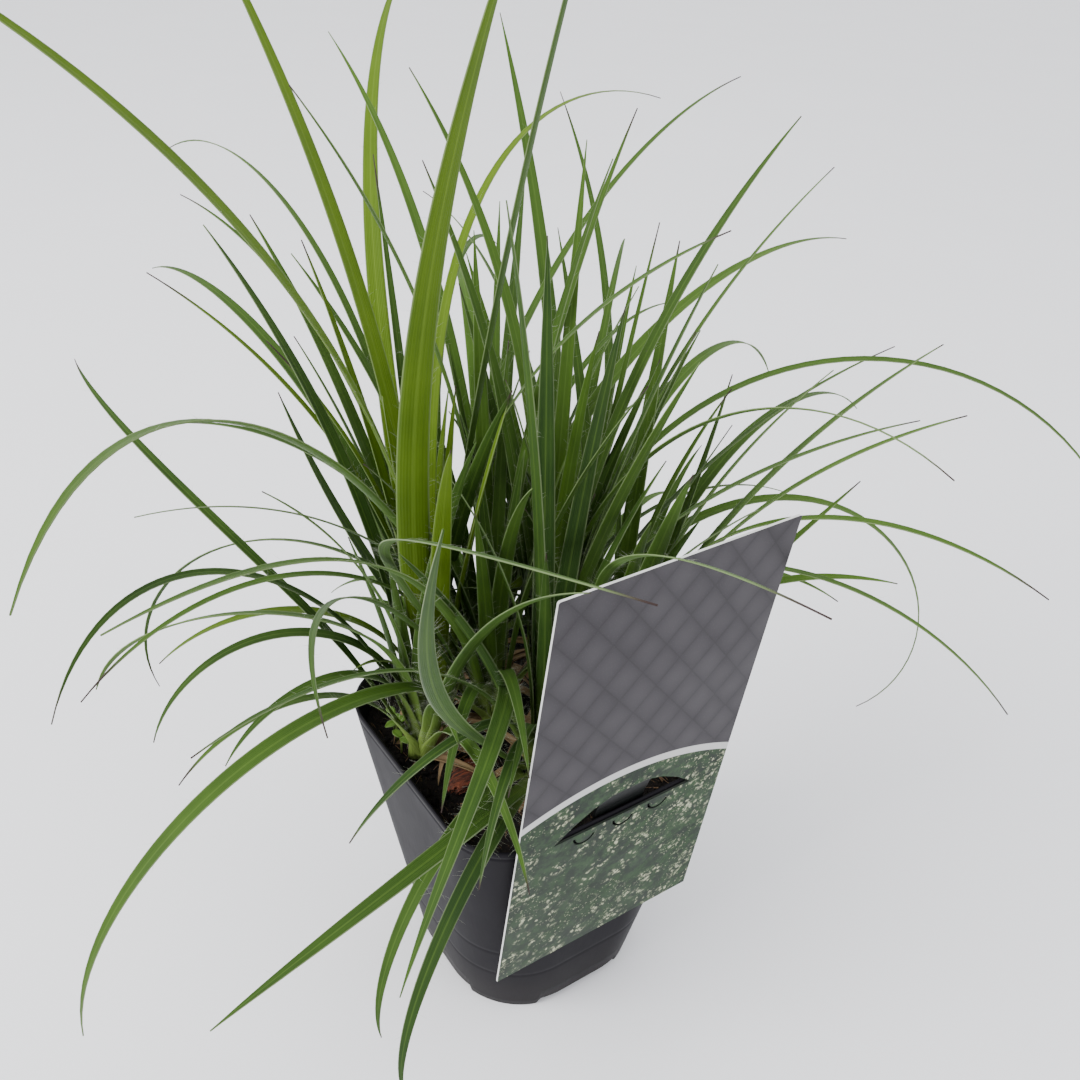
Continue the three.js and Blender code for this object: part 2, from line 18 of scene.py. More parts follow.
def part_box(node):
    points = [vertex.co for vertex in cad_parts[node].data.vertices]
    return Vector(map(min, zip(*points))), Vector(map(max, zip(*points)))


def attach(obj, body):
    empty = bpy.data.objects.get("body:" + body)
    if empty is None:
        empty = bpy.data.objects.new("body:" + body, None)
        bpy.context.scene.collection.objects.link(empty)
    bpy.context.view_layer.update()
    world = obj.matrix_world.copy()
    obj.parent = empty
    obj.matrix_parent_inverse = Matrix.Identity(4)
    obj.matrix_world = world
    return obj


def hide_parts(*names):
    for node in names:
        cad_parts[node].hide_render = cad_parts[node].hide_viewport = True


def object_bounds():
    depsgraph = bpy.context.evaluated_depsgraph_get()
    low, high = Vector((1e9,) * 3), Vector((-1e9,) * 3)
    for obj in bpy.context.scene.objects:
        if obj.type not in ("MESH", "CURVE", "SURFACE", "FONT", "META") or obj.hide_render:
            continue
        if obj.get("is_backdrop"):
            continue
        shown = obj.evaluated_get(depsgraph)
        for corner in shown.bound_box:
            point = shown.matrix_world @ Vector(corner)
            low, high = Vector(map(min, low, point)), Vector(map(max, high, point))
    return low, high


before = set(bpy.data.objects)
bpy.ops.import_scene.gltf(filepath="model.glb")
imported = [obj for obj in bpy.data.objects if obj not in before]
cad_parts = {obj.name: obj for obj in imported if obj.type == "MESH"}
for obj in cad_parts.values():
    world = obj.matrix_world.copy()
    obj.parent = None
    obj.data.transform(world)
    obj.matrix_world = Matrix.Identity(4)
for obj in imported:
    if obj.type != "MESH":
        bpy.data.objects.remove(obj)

MM = 0.001
solids_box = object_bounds()
lowest, highest = [[round(v, 3) for v in corner] for corner in solids_box]
print("solids reach from", lowest, "to", highest)

# %% [markdown]
# ## Camera
# The photograph looks down on the pot's left front corner from close by, so the tall blades lean out of
# the frame. A camera could be turned by eye until the pot fits. Here its place and angles are the result
# of fitting the pot's and the label's corners, and are given as one location and three angles.

# %% The camera
CAMERA_AT = Vector((-157.2, -227.0, 339.7)) * MM
CAMERA_TURN, CAMERA_DIP, CAMERA_ROLL = -34.7, 32.35, -2.26
SENSOR_WIDTH, FOCAL_LENGTH = 36, 37.45

camera = bpy.data.objects.new("camera", bpy.data.cameras.new("camera"))
camera.data.sensor_width = SENSOR_WIDTH
camera.data.lens = FOCAL_LENGTH
camera.data.clip_start = 0.01
aim = Euler((math.radians(90 - CAMERA_DIP), 0, math.radians(CAMERA_TURN))).to_matrix().to_4x4()
roll = Matrix.Rotation(math.radians(-CAMERA_ROLL), 4, "Z")
camera.matrix_world = Matrix.Translation(CAMERA_AT) @ aim @ roll
bpy.context.scene.collection.objects.link(camera)
bpy.context.scene.camera = camera
print("camera stands", round(CAMERA_AT.length, 2), "m from the pot")

# %% [markdown]
# ## Building materials from nodes
# Each finish is a tree of nodes. Writing every node out by hand takes many lines, so a few short helpers
# make a node, set its numbers or link its inputs, and give back the output that the next node reads.

# %% Helpers for colours and numbers
def new_finish(name, **settings):
    """A material, its node tree and its shader, with the shader's plain numbers set."""
    finish = bpy.data.materials.new(name)
    finish.use_nodes = True
    shader = finish.node_tree.nodes["Principled BSDF"]
    for socket, value in settings.items():
        shader.inputs[socket.replace("_", " ")].default_value = value
    return finish, finish.node_tree, shader


def feed(tree, socket, value):
    """Links a node's output to a socket, or sets a plain value there."""
    if isinstance(value, bpy.types.NodeSocket):
        tree.links.new(value, socket)
    else:
        socket.default_value = value


def sums(tree, operation, *values, clamp=False):
    """One step of arithmetic on numbers or sockets."""
    node = tree.nodes.new("ShaderNodeMath")
    node.operation = operation
    node.use_clamp = clamp
    for socket, value in zip(node.inputs, values):
        feed(tree, socket, value)
    return node.outputs[0]


def ease(tree, value, low, high, start=0.0, end=1.0):
    """Turns a value between low and high smoothly into one between start and end."""
    node = tree.nodes.new("ShaderNodeMapRange")
    node.interpolation_type = "SMOOTHSTEP"
    for socket, number in zip(node.inputs, (value, low, high, start, end)):
        feed(tree, socket, number)
    return node.outputs[0]


def blend(tree, amount, first, second):
    """Mixes two colours."""
    node = tree.nodes.new("ShaderNodeMix")
    node.data_type = "RGBA"
    for socket, value in zip((node.inputs[0], node.inputs[6], node.inputs[7]), (amount, first, second)):
        feed(tree, socket, (*value, 1) if isinstance(value, tuple) else value)
    return node.outputs[2]


print("helpers for colours and numbers ready")

# %% Helpers for patterns and places
def grain(tree, place, scale, detail=3.0, roughness=0.55):
    """Smooth random cloud values at a scale, in cells to the unit of place."""
    node = tree.nodes.new("ShaderNodeTexNoise")
    feed(tree, node.inputs["Vector"], place)
    node.inputs["Scale"].default_value = scale
    node.inputs["Detail"].default_value = detail
    node.inputs["Roughness"].default_value = roughness
    return node.outputs["Fac"]


def spots(tree, place, scale):
    """Distance to the nearest of many scattered points."""
    node = tree.nodes.new("ShaderNodeTexVoronoi")
    feed(tree, node.inputs["Vector"], place)
    node.inputs["Scale"].default_value = scale
    return node.outputs["Distance"]


def placed(tree, turn=(0, 0, 0), move=(0, 0, 0), stretch=(1, 1, 1)):
    """Object coordinates, turned, moved and stretched to lie along a piece."""
    mapping = tree.nodes.new("ShaderNodeMapping")
    tree.links.new(tree.nodes.new("ShaderNodeTexCoord").outputs["Object"], mapping.inputs["Vector"])
    mapping.inputs["Rotation"].default_value = turn
    mapping.inputs["Location"].default_value = move
    mapping.inputs["Scale"].default_value = stretch
    return mapping.outputs["Vector"]


def parts_of(tree, vector):
    """The three numbers of a vector."""
    node = tree.nodes.new("ShaderNodeSeparateXYZ")
    feed(tree, node.inputs[0], vector)
    return node.outputs[0], node.outputs[1], node.outputs[2]


def joined(tree, x, y, z):
    """A vector from three numbers."""
    node = tree.nodes.new("ShaderNodeCombineXYZ")
    for socket, value in zip(node.inputs, (x, y, z)):
        feed(tree, socket, value)
    return node.outputs[0]


def relief(tree, shader, height, strength, depth):
    """Gives the shader a bump from a height, depth metres deep."""
    node = tree.nodes.new("ShaderNodeBump")
    node.inputs["Strength"].default_value = strength
    node.inputs["Distance"].default_value = depth
    feed(tree, node.inputs["Height"], height)
    tree.links.new(node.outputs["Normal"], shader.inputs["Normal"])


print("helpers for patterns and places ready")

# %% [markdown]
# ## Floor and light
# The plant stands on a white table in soft daylight. A wide pale plane and a pale sky give the even light
# of the room, one large lamp from the upper left gives the pot's left wall its soft sheen, and a weak
# second one lifts the shade on the label's side.

# %% The floor
FLOOR_HALF = 12

floor_finish, tree, shader = new_finish("white_table", Roughness=0.6)
table_tint = grain(tree, placed(tree), 6, 4)
feed(tree, shader.inputs["Base Color"], blend(tree, table_tint, (0.87, 0.87, 0.9), (0.91, 0.91, 0.94)))

floor_mesh = bmesh.new()
bmesh.ops.create_grid(floor_mesh, x_segments=1, y_segments=1, size=FLOOR_HALF)
floor_data = bpy.data.meshes.new("floor")
floor_mesh.to_mesh(floor_data)
floor_mesh.free()
floor_data.materials.append(floor_finish)
floor = bpy.data.objects.new("floor", floor_data)
bpy.context.scene.collection.objects.link(floor)
floor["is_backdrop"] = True
print("floor is", 2 * FLOOR_HALF, "m across")

# %% The lamps
LAMPS_FACE = Vector((0, 0, 0.15))

sky = bpy.data.worlds.new("room_light")
bpy.context.scene.world = sky
sky.use_nodes = True
sky.node_tree.nodes["Background"].inputs["Color"].default_value = (0.97, 0.98, 1.0, 1)
sky.node_tree.nodes["Background"].inputs["Strength"].default_value = 1.65


def add_lamp(name, at, size, power, colour):
    """A square soft light that faces the middle of the plant."""
    lamp = bpy.data.objects.new(name, bpy.data.lights.new(name, "AREA"))
    lamp.data.size = size
    lamp.data.energy = power
    lamp.data.color = colour
    lamp.location = at
    lamp.rotation_euler = (LAMPS_FACE - Vector(at)).to_track_quat("-Z", "Y").to_euler()
    bpy.context.scene.collection.objects.link(lamp)


add_lamp("window", (-1.5, 0.2, 1.3), 1.1, 42, (1.0, 0.99, 0.97))
add_lamp("fill", (1.0, -1.6, 1.4), 1.2, 9, (0.96, 0.98, 1.0))
print("two lamps and a pale sky")

# %% [markdown]
# ## Adding a piece
# Every finished mesh becomes an object at the origin. It rides on the pot, holds its finish in a material
# slot, and hides the solid that it stands for. A thin sheet then gets its thickness from a modifier.

# %% Helpers for pieces
def add_piece(name, mesh, finish, replaced=()):
    """Makes an object of a finished mesh, which rides on the pot and may stand for solids."""
    for face in mesh.faces:
        face.smooth = True
    data = bpy.data.meshes.new(name)
    mesh.to_mesh(data)
    mesh.free()
    data.materials.append(finish)
    piece = bpy.data.objects.new(name, data)
    bpy.context.scene.collection.objects.link(piece)
    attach(piece, "root")
    if replaced:
        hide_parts(*replaced)
    return piece


def thicken(piece, thickness):
    """Gives a thin sheet its thickness."""
    wall = piece.modifiers.new("thickness", "SOLIDIFY")
    wall.thickness = thickness * MM
    wall.offset = 0


print("helpers for pieces ready")

# %% [markdown]
# ## Pot
# The real pot is drawn from one sheet of dark plastic about a millimetre thick: square with round corners
# at the rim, rounder at the foot, with faint moulding lines round the wall and feet at its corners. It
# could be cut from a block. A circle that is extruded ring by ring, with each ring set on the rounded
# square of its height, gives one even skin up the outside, over the rim and down the inside.

# %% The pot's sizes
POT_HEIGHT, POT_TOP_SIDE, POT_BASE_SIDE = 98, 95.8, 68.4
POT_TOP_CORNER, POT_BASE_CORNER = 20, 27


def outline_reach(turn, half, corner):
    """How far a rounded square reaches from its middle in a direction."""
    x, y = abs(math.cos(turn)), abs(math.sin(turn))
    x, y = max(x, y), min(x, y)
    if half * y / x <= half - corner:
        return half / x
    middle = half - corner
    across = middle * (x + y)
    return across + math.sqrt(across * across - 2 * middle * middle + corner * corner)


def pot_point(turn, height, inset):
    """A point of the pot's outline at a height, inset millimetres inside its outer skin."""
    share = height / POT_HEIGHT
    half = (POT_BASE_SIDE + (POT_TOP_SIDE - POT_BASE_SIDE) * share) / 2 - inset
    corner = POT_BASE_CORNER + (POT_TOP_CORNER - POT_BASE_CORNER) * share - inset
    reach = outline_reach(turn, half, corner)
    return Vector((reach * math.cos(turn), reach * math.sin(turn), height))


print("rim reaches", round(pot_point(0, POT_HEIGHT, 0).x, 1), "mm,",
      "its corner", round(pot_point(math.pi / 4, POT_HEIGHT, 0).xy.length, 1), "mm")

# %% Raising the wall ring by ring
def turned_ring(mesh, edges):
    """Extrudes a ring of edges and gives back its new vertices and edges."""
    made = bmesh.ops.extrude_edge_only(mesh, edges=edges)["geom"]
    return ([part for part in made if isinstance(part, bmesh.types.BMVert)],
            [part for part in made if isinstance(part, bmesh.types.BMEdge)])


def set_ring(verts, height, inset):
    """Moves a ring's vertices to the pot's outline."""
    for vert in verts:
        turn = math.atan2(vert.co.y, vert.co.x)
        vert.co = pot_point(turn, height, inset)


POT_SIDES = 160
POT_WALL, POT_FLOOR = 1.0, 1.2
FOOT_HEIGHT, FOOT_GAP = 3, 30

# A ring is a height and an inset. A moulding line is a shallow groove, and so is the line under the rim.
MOULDING_LINES, RIM_LINE = (22.5, 37.0), 94.9
MOULDING_GROOVE = ((-2, 0), (-0.8, 0), (-0.3, 0.08), (0.3, 0.08), (0.8, 0), (2, 0))
RIM_GROOVE = ((-1.5, 0), (-0.5, 0), (0, 0.22), (0.5, 0))
EDGE_ROUNDING, RIM_SHOULDER = 0.5, 97.5

outer = [(FOOT_HEIGHT + 0.6, 0), (9, 0)]
for line in MOULDING_LINES:
    outer += [(line + step, depth) for step, depth in MOULDING_GROOVE]
outer += [(height, 0) for height in (50, 62, 74, 86)]
outer += [(RIM_LINE + step, depth) for step, depth in RIM_GROOVE]
outer += [(RIM_SHOULDER, 0), (POT_HEIGHT, 0.3)]
inner = [(POT_HEIGHT, 0.75)] + [(height, POT_WALL) for height in (RIM_SHOULDER, 84, 60, 30)]
inner += [(FOOT_HEIGHT + POT_FLOOR + 1.5, POT_WALL), (FOOT_HEIGHT + POT_FLOOR, POT_WALL + 1.2)]

pot_mesh = bmesh.new()
foot_ring = bmesh.ops.create_circle(pot_mesh, segments=POT_SIDES, radius=POT_BASE_SIDE / 2)["verts"]
set_ring(foot_ring, 0, EDGE_ROUNDING)
foot_edge, ring_edges = turned_ring(pot_mesh, pot_mesh.edges[:])
set_ring(foot_edge, EDGE_ROUNDING, 0)
for height, inset in outer + inner:
    ring_verts, ring_edges = turned_ring(pot_mesh, ring_edges)
    set_ring(ring_verts, height, inset)
bmesh.ops.contextual_create(pot_mesh, geom=ring_edges)

# Between the corner feet the wall ends higher, which lets water out from under the pot.
for vert in foot_ring + foot_edge:
    if min(abs(vert.co.x), abs(vert.co.y)) < FOOT_GAP / 2 + 0.5:
        vert.co.z = FOOT_HEIGHT + 0.4 * (vert in foot_edge)
print("pot wall has", len(pot_mesh.faces), "faces")

# %% The underside with its middle pad
FEET_INSIDE, PAD_RADIUS = 24, 9
PAD_RINGS = (
    (22.5, FOOT_HEIGHT), (PAD_RADIUS + 0.8, FOOT_HEIGHT), (PAD_RADIUS, 0.3), (PAD_RADIUS - 0.5, 0))

under_verts, under_edges = turned_ring(pot_mesh, [edge for edge in pot_mesh.edges if edge.is_boundary])
for vert in under_verts:
    turn = math.atan2(vert.co.y, vert.co.x)
    vert.co.x, vert.co.y = FEET_INSIDE * math.cos(turn), FEET_INSIDE * math.sin(turn)
for radius, height in PAD_RINGS:
    under_verts, under_edges = turned_ring(pot_mesh, under_edges)
    for vert in under_verts:
        turn = math.atan2(vert.co.y, vert.co.x)
        vert.co = Vector((radius * math.cos(turn), radius * math.sin(turn), height))
bmesh.ops.contextual_create(pot_mesh, geom=under_edges)
bmesh.ops.recalc_face_normals(pot_mesh, faces=pot_mesh.faces)
bmesh.ops.scale(pot_mesh, verts=pot_mesh.verts, vec=(MM, MM, MM))
print("pot is closed:", all(edge.is_manifold for edge in pot_mesh.edges))

# %% [markdown]
# ## Pot finish
# Thermoformed plastic is semi-gloss: a clear sheen, slightly uneven, with fine scratches, dull patches of
# dried water near the foot and a little compost dust. Roughness and a very shallow bump carry most of
# this, and the colour stays almost even.

# %% The pot's plastic
pot_finish, tree, shader = new_finish("anthracite_plastic", Specular_IOR_Level=0.03)
around = placed(tree)
scratches = grain(tree, placed(tree, turn=(0.3, 0.2, 0), stretch=(900, 900, 60)), 1, 2)
dull = grain(tree, around, 45, 4)
near_foot = ease(tree, parts_of(tree, around)[2], 0.0, 0.03, 1, 0)
dust = ease(tree, spots(tree, around, 420), 0.0, 0.12, 1, 0)
dust = sums(tree, "MULTIPLY", dust, ease(tree, grain(tree, around, 90, 2), 0.56, 0.66))
colour = blend(tree, dull, (0.008, 0.0075, 0.0095), (0.013, 0.012, 0.0145))
colour = blend(tree, sums(tree, "MULTIPLY", near_foot, 0.2), colour, (0.06, 0.054, 0.05))
colour = blend(tree, sums(tree, "MULTIPLY", dust, 0.5), colour, (0.14, 0.1, 0.07))
feed(tree, shader.inputs["Base Color"], colour)
rough = sums(tree, "MULTIPLY_ADD", dull, 0.2, 0.3)
feed(tree, shader.inputs["Roughness"], sums(tree, "ADD", rough, sums(tree, "MULTIPLY", scratches, 0.05)))
waves = sums(tree, "MULTIPLY", grain(tree, around, 28, 2), 3)
relief(tree, shader, sums(tree, "ADD", waves, sums(tree, "MULTIPLY", scratches, 0.3)), 0.2, 0.0002)

pot = add_piece("pot_shell", pot_mesh, pot_finish, ["pot"])
print("pot done:", pot.name)

# %% [markdown]
# ## Compost
# Peat compost is nearly black, crumbly and full of short fibres. The body of it only shows at its top, as
# an uneven surface, so a grid is laid in the pot's outline, lifted by noise, and its edge is drawn down
# to the pot's floor. Loose crumbs and fibres then lie on it.

# %% The compost's body
SOIL_TOP = 88
SOIL_INSET = POT_WALL + 0.3
SOIL_FLOOR = FOOT_HEIGHT + POT_FLOOR + 0.3
SOIL_CELLS = 72
SOIL_DOME, DOME_RADIUS, SOIL_SETTLED = 1.3, 44.72, 0.6


def soil_height(x, y):
    """Height of the compost's surface above the table, in millimetres."""
    spot = Vector((x, y, 0))
    lumps = noise.fractal(spot * 0.11, 1.0, 2.0, 4) * 1.5
    crumbs = noise.fractal(spot * 0.55, 0.8, 2.0, 2) * 0.5
    dome = SOIL_DOME * (1 - (x * x + y * y) / DOME_RADIUS**2)
    return SOIL_TOP + dome + lumps + crumbs - SOIL_SETTLED


def soil_edge(turn, inset):
    """The edge of the compost's surface in a direction, drawn in by some millimetres."""
    return pot_point(turn, SOIL_TOP - 1, SOIL_INSET + inset)


soil_mesh = bmesh.new()
top = bmesh.ops.create_grid(soil_mesh, x_segments=SOIL_CELLS, y_segments=SOIL_CELLS, size=1)
for vert in top["verts"]:
    edge = soil_edge(math.atan2(vert.co.y, vert.co.x), 0)
    share = max(abs(vert.co.x), abs(vert.co.y))
    x, y = edge.x * share, edge.y * share
    vert.co = Vector((x, y, soil_height(x, y)))
for height in (60, 30, SOIL_FLOOR):
    rim = [edge for edge in soil_mesh.edges if edge.is_boundary]
    low_verts, _ = turned_ring(soil_mesh, rim)
    set_ring(low_verts, height, SOIL_INSET)
bmesh.ops.holes_fill(soil_mesh, edges=[edge for edge in soil_mesh.edges if edge.is_boundary])
bmesh.ops.recalc_face_normals(soil_mesh, faces=soil_mesh.faces)
bmesh.ops.scale(soil_mesh, verts=soil_mesh.verts, vec=(MM, MM, MM))
print("compost body has", len(soil_mesh.faces), "faces")

# %% The compost finish
soil_finish, tree, shader = new_finish("peat_compost", Roughness=0.95, Specular_IOR_Level=0.25)
ground = placed(tree)
clods = grain(tree, ground, 420, 5, 0.65)
drawn_out = placed(tree, turn=(0, 0, 0.6), stretch=(1500, 260, 400))
fibres = ease(tree, grain(tree, drawn_out, 1, 2), 0.6, 0.72)
colour = blend(tree, ease(tree, clods, 0.35, 0.7), (0.0025, 0.002, 0.002), (0.013, 0.0085, 0.0065))
colour = blend(tree, sums(tree, "MULTIPLY", fibres, 0.6), colour, (0.13, 0.075, 0.038))
feed(tree, shader.inputs["Base Color"], colour)
relief(tree, shader, clods, 1.0, 0.0012)
bed = add_piece("compost_bed", soil_mesh, soil_finish, ["compost"])
print("compost done:", bed.name)

# %% Loose crumbs
CRUMBS = 620
COMPOST_SEED = 3


def soil_spot(chance, inset):
    """A direction and a place drawn at random on the compost's surface."""
    turn = chance.uniform(0, 2 * math.pi)
    place = soil_edge(turn, inset) * math.sqrt(chance.random())
    return turn, place.x, place.y


chance = random.Random(COMPOST_SEED)
crumb_mesh = bmesh.new()
for _ in range(CRUMBS):
    turn, x, y = soil_spot(chance, 1.2)
    size = 0.5 + 1.5 * chance.random() ** 3
    crumb = bmesh.ops.create_icosphere(crumb_mesh, subdivisions=1, radius=size * MM)["verts"]
    for vert in crumb:
        vert.co = vert.co * (1 + 0.35 * noise.noise(vert.co * 2000 + Vector((x, y, 0))))
    bmesh.ops.scale(crumb_mesh, verts=crumb, vec=(1, chance.uniform(0.5, 1), chance.uniform(0.4, 0.8)))
    bmesh.ops.rotate(crumb_mesh, verts=crumb, matrix=Matrix.Rotation(turn * 5, 3, "Z"))
    bmesh.ops.translate(crumb_mesh, verts=crumb, vec=Vector((x, y, soil_height(x, y) + 0.3 * size)) * MM)
add_piece("compost_crumbs", crumb_mesh, soil_finish)
print("crumbs:", CRUMBS)

# %% Fibres on the compost
FIBRES = 170
FIBRE_TIP = 0.08

fibre_finish, tree, shader = new_finish("peat_fibre", Roughness=0.85)
tint = grain(tree, placed(tree), 150, 2)
colour = blend(tree, ease(tree, tint, 0.35, 0.65), (0.035, 0.02, 0.012), (0.19, 0.11, 0.055))
feed(tree, shader.inputs["Base Color"], colour)

fibre_mesh = bmesh.new()
for _ in range(FIBRES):
    _, x, y = soil_spot(chance, 4)
    length, thick = chance.uniform(2, 8), chance.uniform(0.12, 0.4)
    twig = bmesh.ops.create_cone(fibre_mesh, cap_ends=True, segments=5, radius1=thick * MM,
                                 radius2=FIBRE_TIP * MM, depth=length * MM)["verts"]
    lie = Euler((math.radians(90 + chance.uniform(-14, 14)), 0, chance.uniform(0, 6.3))).to_matrix()
    bmesh.ops.rotate(fibre_mesh, verts=twig, matrix=lie)
    bmesh.ops.translate(fibre_mesh, verts=twig, vec=Vector((x, y, soil_height(x, y) + 0.5)) * MM)
add_piece("compost_fibres", fibre_mesh, fibre_finish)
print("fibres:", FIBRES)

# %% [markdown]
# ## Bark chip
# One reddish flake of bark lies between the leaves. It splits in layers, so its grain runs along it and
# its ends are ragged. A block is cut finer, pulled in at its ends and roughened by noise.

# %% The bark flake
BARK_LENGTH, BARK_WIDTH, BARK_THICKNESS, BARK_TURN = 15, 8, 2.4, 35
bark_low, bark_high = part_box("bark_chip")
bark_middle = (bark_low + bark_high) / 2
bark_mesh = bmesh.new()
bmesh.ops.create_cube(bark_mesh, size=1)
bmesh.ops.subdivide_edges(bark_mesh, edges=bark_mesh.edges, cuts=9, use_grid_fill=True)
for vert in bark_mesh.verts:
    x, y, z = vert.co
    narrow = 1 - 0.45 * (2 * abs(x)) ** 2.5 + 0.25 * noise.noise(Vector((x * 7, 0, 5)))
    ragged_end = 0.2 * noise.noise(Vector((y * 11, z * 6, 1))) * (2 * abs(x)) ** 2
    layers_step = 0.12 * noise.noise(Vector((x * 3, y * 12, z * 2)))
    vert.co = Vector(((x + ragged_end) * BARK_LENGTH * 0.94, y * narrow * BARK_WIDTH * 0.95,
                      (z + layers_step) * BARK_THICKNESS * (0.85 - 0.45 * (2 * abs(y)) ** 3)))
lie = Matrix.Rotation(math.radians(BARK_TURN), 3, "Z")
bmesh.ops.rotate(bark_mesh, verts=bark_mesh.verts, matrix=lie)
bmesh.ops.scale(bark_mesh, verts=bark_mesh.verts, vec=(MM, MM, MM))
bmesh.ops.translate(bark_mesh, verts=bark_mesh.verts, vec=bark_middle)

bark_finish, tree, shader = new_finish("red_bark", Roughness=0.8)
along_grain = placed(tree, turn=(0, 0, math.radians(-BARK_TURN)), stretch=(180, 1300, 900))
layers_tint = grain(tree, along_grain, 1, 4)
colour = blend(tree, ease(tree, layers_tint, 0.3, 0.7), (0.03, 0.009, 0.006), (0.26, 0.062, 0.026))
feed(tree, shader.inputs["Base Color"], colour)
relief(tree, shader, layers_tint, 1.0, 0.0015)
add_piece("bark_flake", bark_mesh, bark_finish, ["bark_chip"])
print("bark flake at", [round(v, 3) for v in bark_middle])

# %% [markdown]
# ## Label
# The label is a thin printed sheet that lies along the pot's sloping wall, with a curved slot through
# which a tongue hooks over the rim. Its solid already has the right outline, slot, slits and tongue, so
# it stays and only gets its print, with painted shade on the cut edges and the bent-back tongue. The
# print is drawn in the sheet's own plane: object coordinates, turned back by the wall's slope, give x
# across the sheet and a second number up it.

# %% The label's print
WALL_TILT = math.atan((POT_TOP_SIDE - POT_BASE_SIDE) / 2 / POT_HEIGHT)
BAND_MIDDLE, BAND_LEAN, BAND_ARCH = 118.8, -0.064, -0.0063

label_finish, tree, shader = new_finish("printed_label", Specular_IOR_Level=0.17)
flat = placed(tree, turn=(-WALL_TILT, 0, 0), move=(0, 0, -POT_BASE_SIDE / 2 * math.sin(WALL_TILT) * MM))
across, inward, upward = parts_of(tree, flat)
x = sums(tree, "MULTIPLY", across, 1000)
t = sums(tree, "MULTIPLY", upward, 1000)

# How far a point is above the arched band's middle line, in millimetres.
arch = sums(tree, "MULTIPLY_ADD", x, BAND_ARCH, BAND_LEAN)
above = sums(tree, "SUBTRACT", sums(tree, "SUBTRACT", t, sums(tree, "MULTIPLY", arch, x)), BAND_MIDDLE)
print("the label leans outwards by", round(math.degrees(WALL_TILT), 1), "degrees")

# %% The quilted upper part
# Two sets of slanting seams cross. It is darker in the seams and lighter on each crown between them.
SEAM_SLANT, SLANT_LENGTH, QUILT_PITCH = 1.25, 1.6, 9.5

slanted = sums(tree, "MULTIPLY", x, SEAM_SLANT)
seams = [sums(tree, "MULTIPLY", sums(tree, way, slanted, t), math.pi / QUILT_PITCH / SLANT_LENGTH)
         for way in ("ADD", "SUBTRACT")]
ridges = [sums(tree, "ABSOLUTE", sums(tree, "SINE", seam)) for seam in seams]
crown = sums(tree, "POWER", sums(tree, "MULTIPLY", *ridges), 0.6)
cell = joined(tree, *[sums(tree, "FLOOR", sums(tree, "DIVIDE", seam, math.pi)) for seam in seams], 0)
cell_tint = tree.nodes.new("ShaderNodeTexWhiteNoise")
feed(tree, cell_tint.inputs["Vector"], cell)
cell_shade = sums(tree, "MULTIPLY", cell_tint.outputs["Value"], 0.25)
seam_line = ease(tree, sums(tree, "MINIMUM", *ridges), 0.0, 0.12, 1, 0)
quilt_shade = sums(tree, "ADD", sums(tree, "MULTIPLY", crown, 0.75), cell_shade)
quilt = blend(tree, quilt_shade, (0.024, 0.021, 0.025), (0.046, 0.042, 0.047))
quilt = blend(tree, sums(tree, "MULTIPLY", seam_line, 0.3), quilt, (0.018, 0.016, 0.018))
speckle = ease(tree, spots(tree, flat, 1600), 0.0, 0.35, 1, 0)
quilt = blend(tree, sums(tree, "MULTIPLY", speckle, 0.12), quilt, (0.13, 0.12, 0.13))
print("quilted grey, a seam about every", QUILT_PITCH, "mm")

# %% The green lower part
# Dark foliage, hazier to the lower left, with pale flecks in loose bunches.
FLECK_WANDER = 3
BAND_HALF, PRINT_BLUR = 1.5, 0.15

foliage_shade = grain(tree, flat, 300, 5, 0.7)
foliage_shade = ease(tree, foliage_shade, 0.36, 0.66)
foliage = blend(tree, foliage_shade, (0.0015, 0.008, 0.0025), (0.018, 0.05, 0.013))
haze = ease(tree, sums(tree, "ADD", x, t), 20, 110, 0.42, 0)
foliage = blend(tree, haze, foliage, (0.027, 0.038, 0.025))
drift = grain(tree, flat, 75, 3)
fleck_x = sums(tree, "ADD", x, sums(tree, "MULTIPLY", grain(tree, flat, 420, 2), FLECK_WANDER))
fleck_t = sums(tree, "ADD", t, sums(tree, "MULTIPLY", grain(tree, flat, 370, 2), FLECK_WANDER))
fleck_place = joined(tree, fleck_x, 0, fleck_t)
bunches = ease(tree, spots(tree, fleck_place, 0.15), 0.28, 0.64, 1, 0)
petals = ease(tree, spots(tree, fleck_place, 0.55), 0.25, 0.55, 1, 0)
ragged_edge = ease(tree, grain(tree, flat, 1100, 3, 0.7), 0.42, 0.54)
flecks = sums(tree, "MULTIPLY", sums(tree, "MULTIPLY", bunches, petals), ragged_edge)
dots = ease(tree, spots(tree, fleck_place, 0.9), 0.08, 0.3, 1, 0)
dots = sums(tree, "MULTIPLY", dots, ease(tree, drift, 0.45, 0.6))
flecks = sums(tree, "MAXIMUM", flecks, sums(tree, "MULTIPLY", dots, 0.7))
green = blend(tree, flecks, foliage, (0.4, 0.42, 0.28))

on_green = ease(tree, above, -BAND_HALF - PRINT_BLUR, -BAND_HALF + PRINT_BLUR, 1, 0)
on_band = ease(tree, above, BAND_HALF - PRINT_BLUR, BAND_HALF + PRINT_BLUR, 1, 0)
face_print = blend(tree, on_green, blend(tree, on_band, quilt, (0.5, 0.5, 0.49)), green)
print("green with flecks below a band", 2 * BAND_HALF, "mm wide")

# %% The label's edges, back and tongue
# The outer cut edge and the back are bare white plastic. The cut edges of slot and slits are painted
# near-black green as painted shade.
LABEL_HALF_WIDTH, LABEL_HALF_HEIGHT, LABEL_MIDDLE = 37.5, 80, 116.5

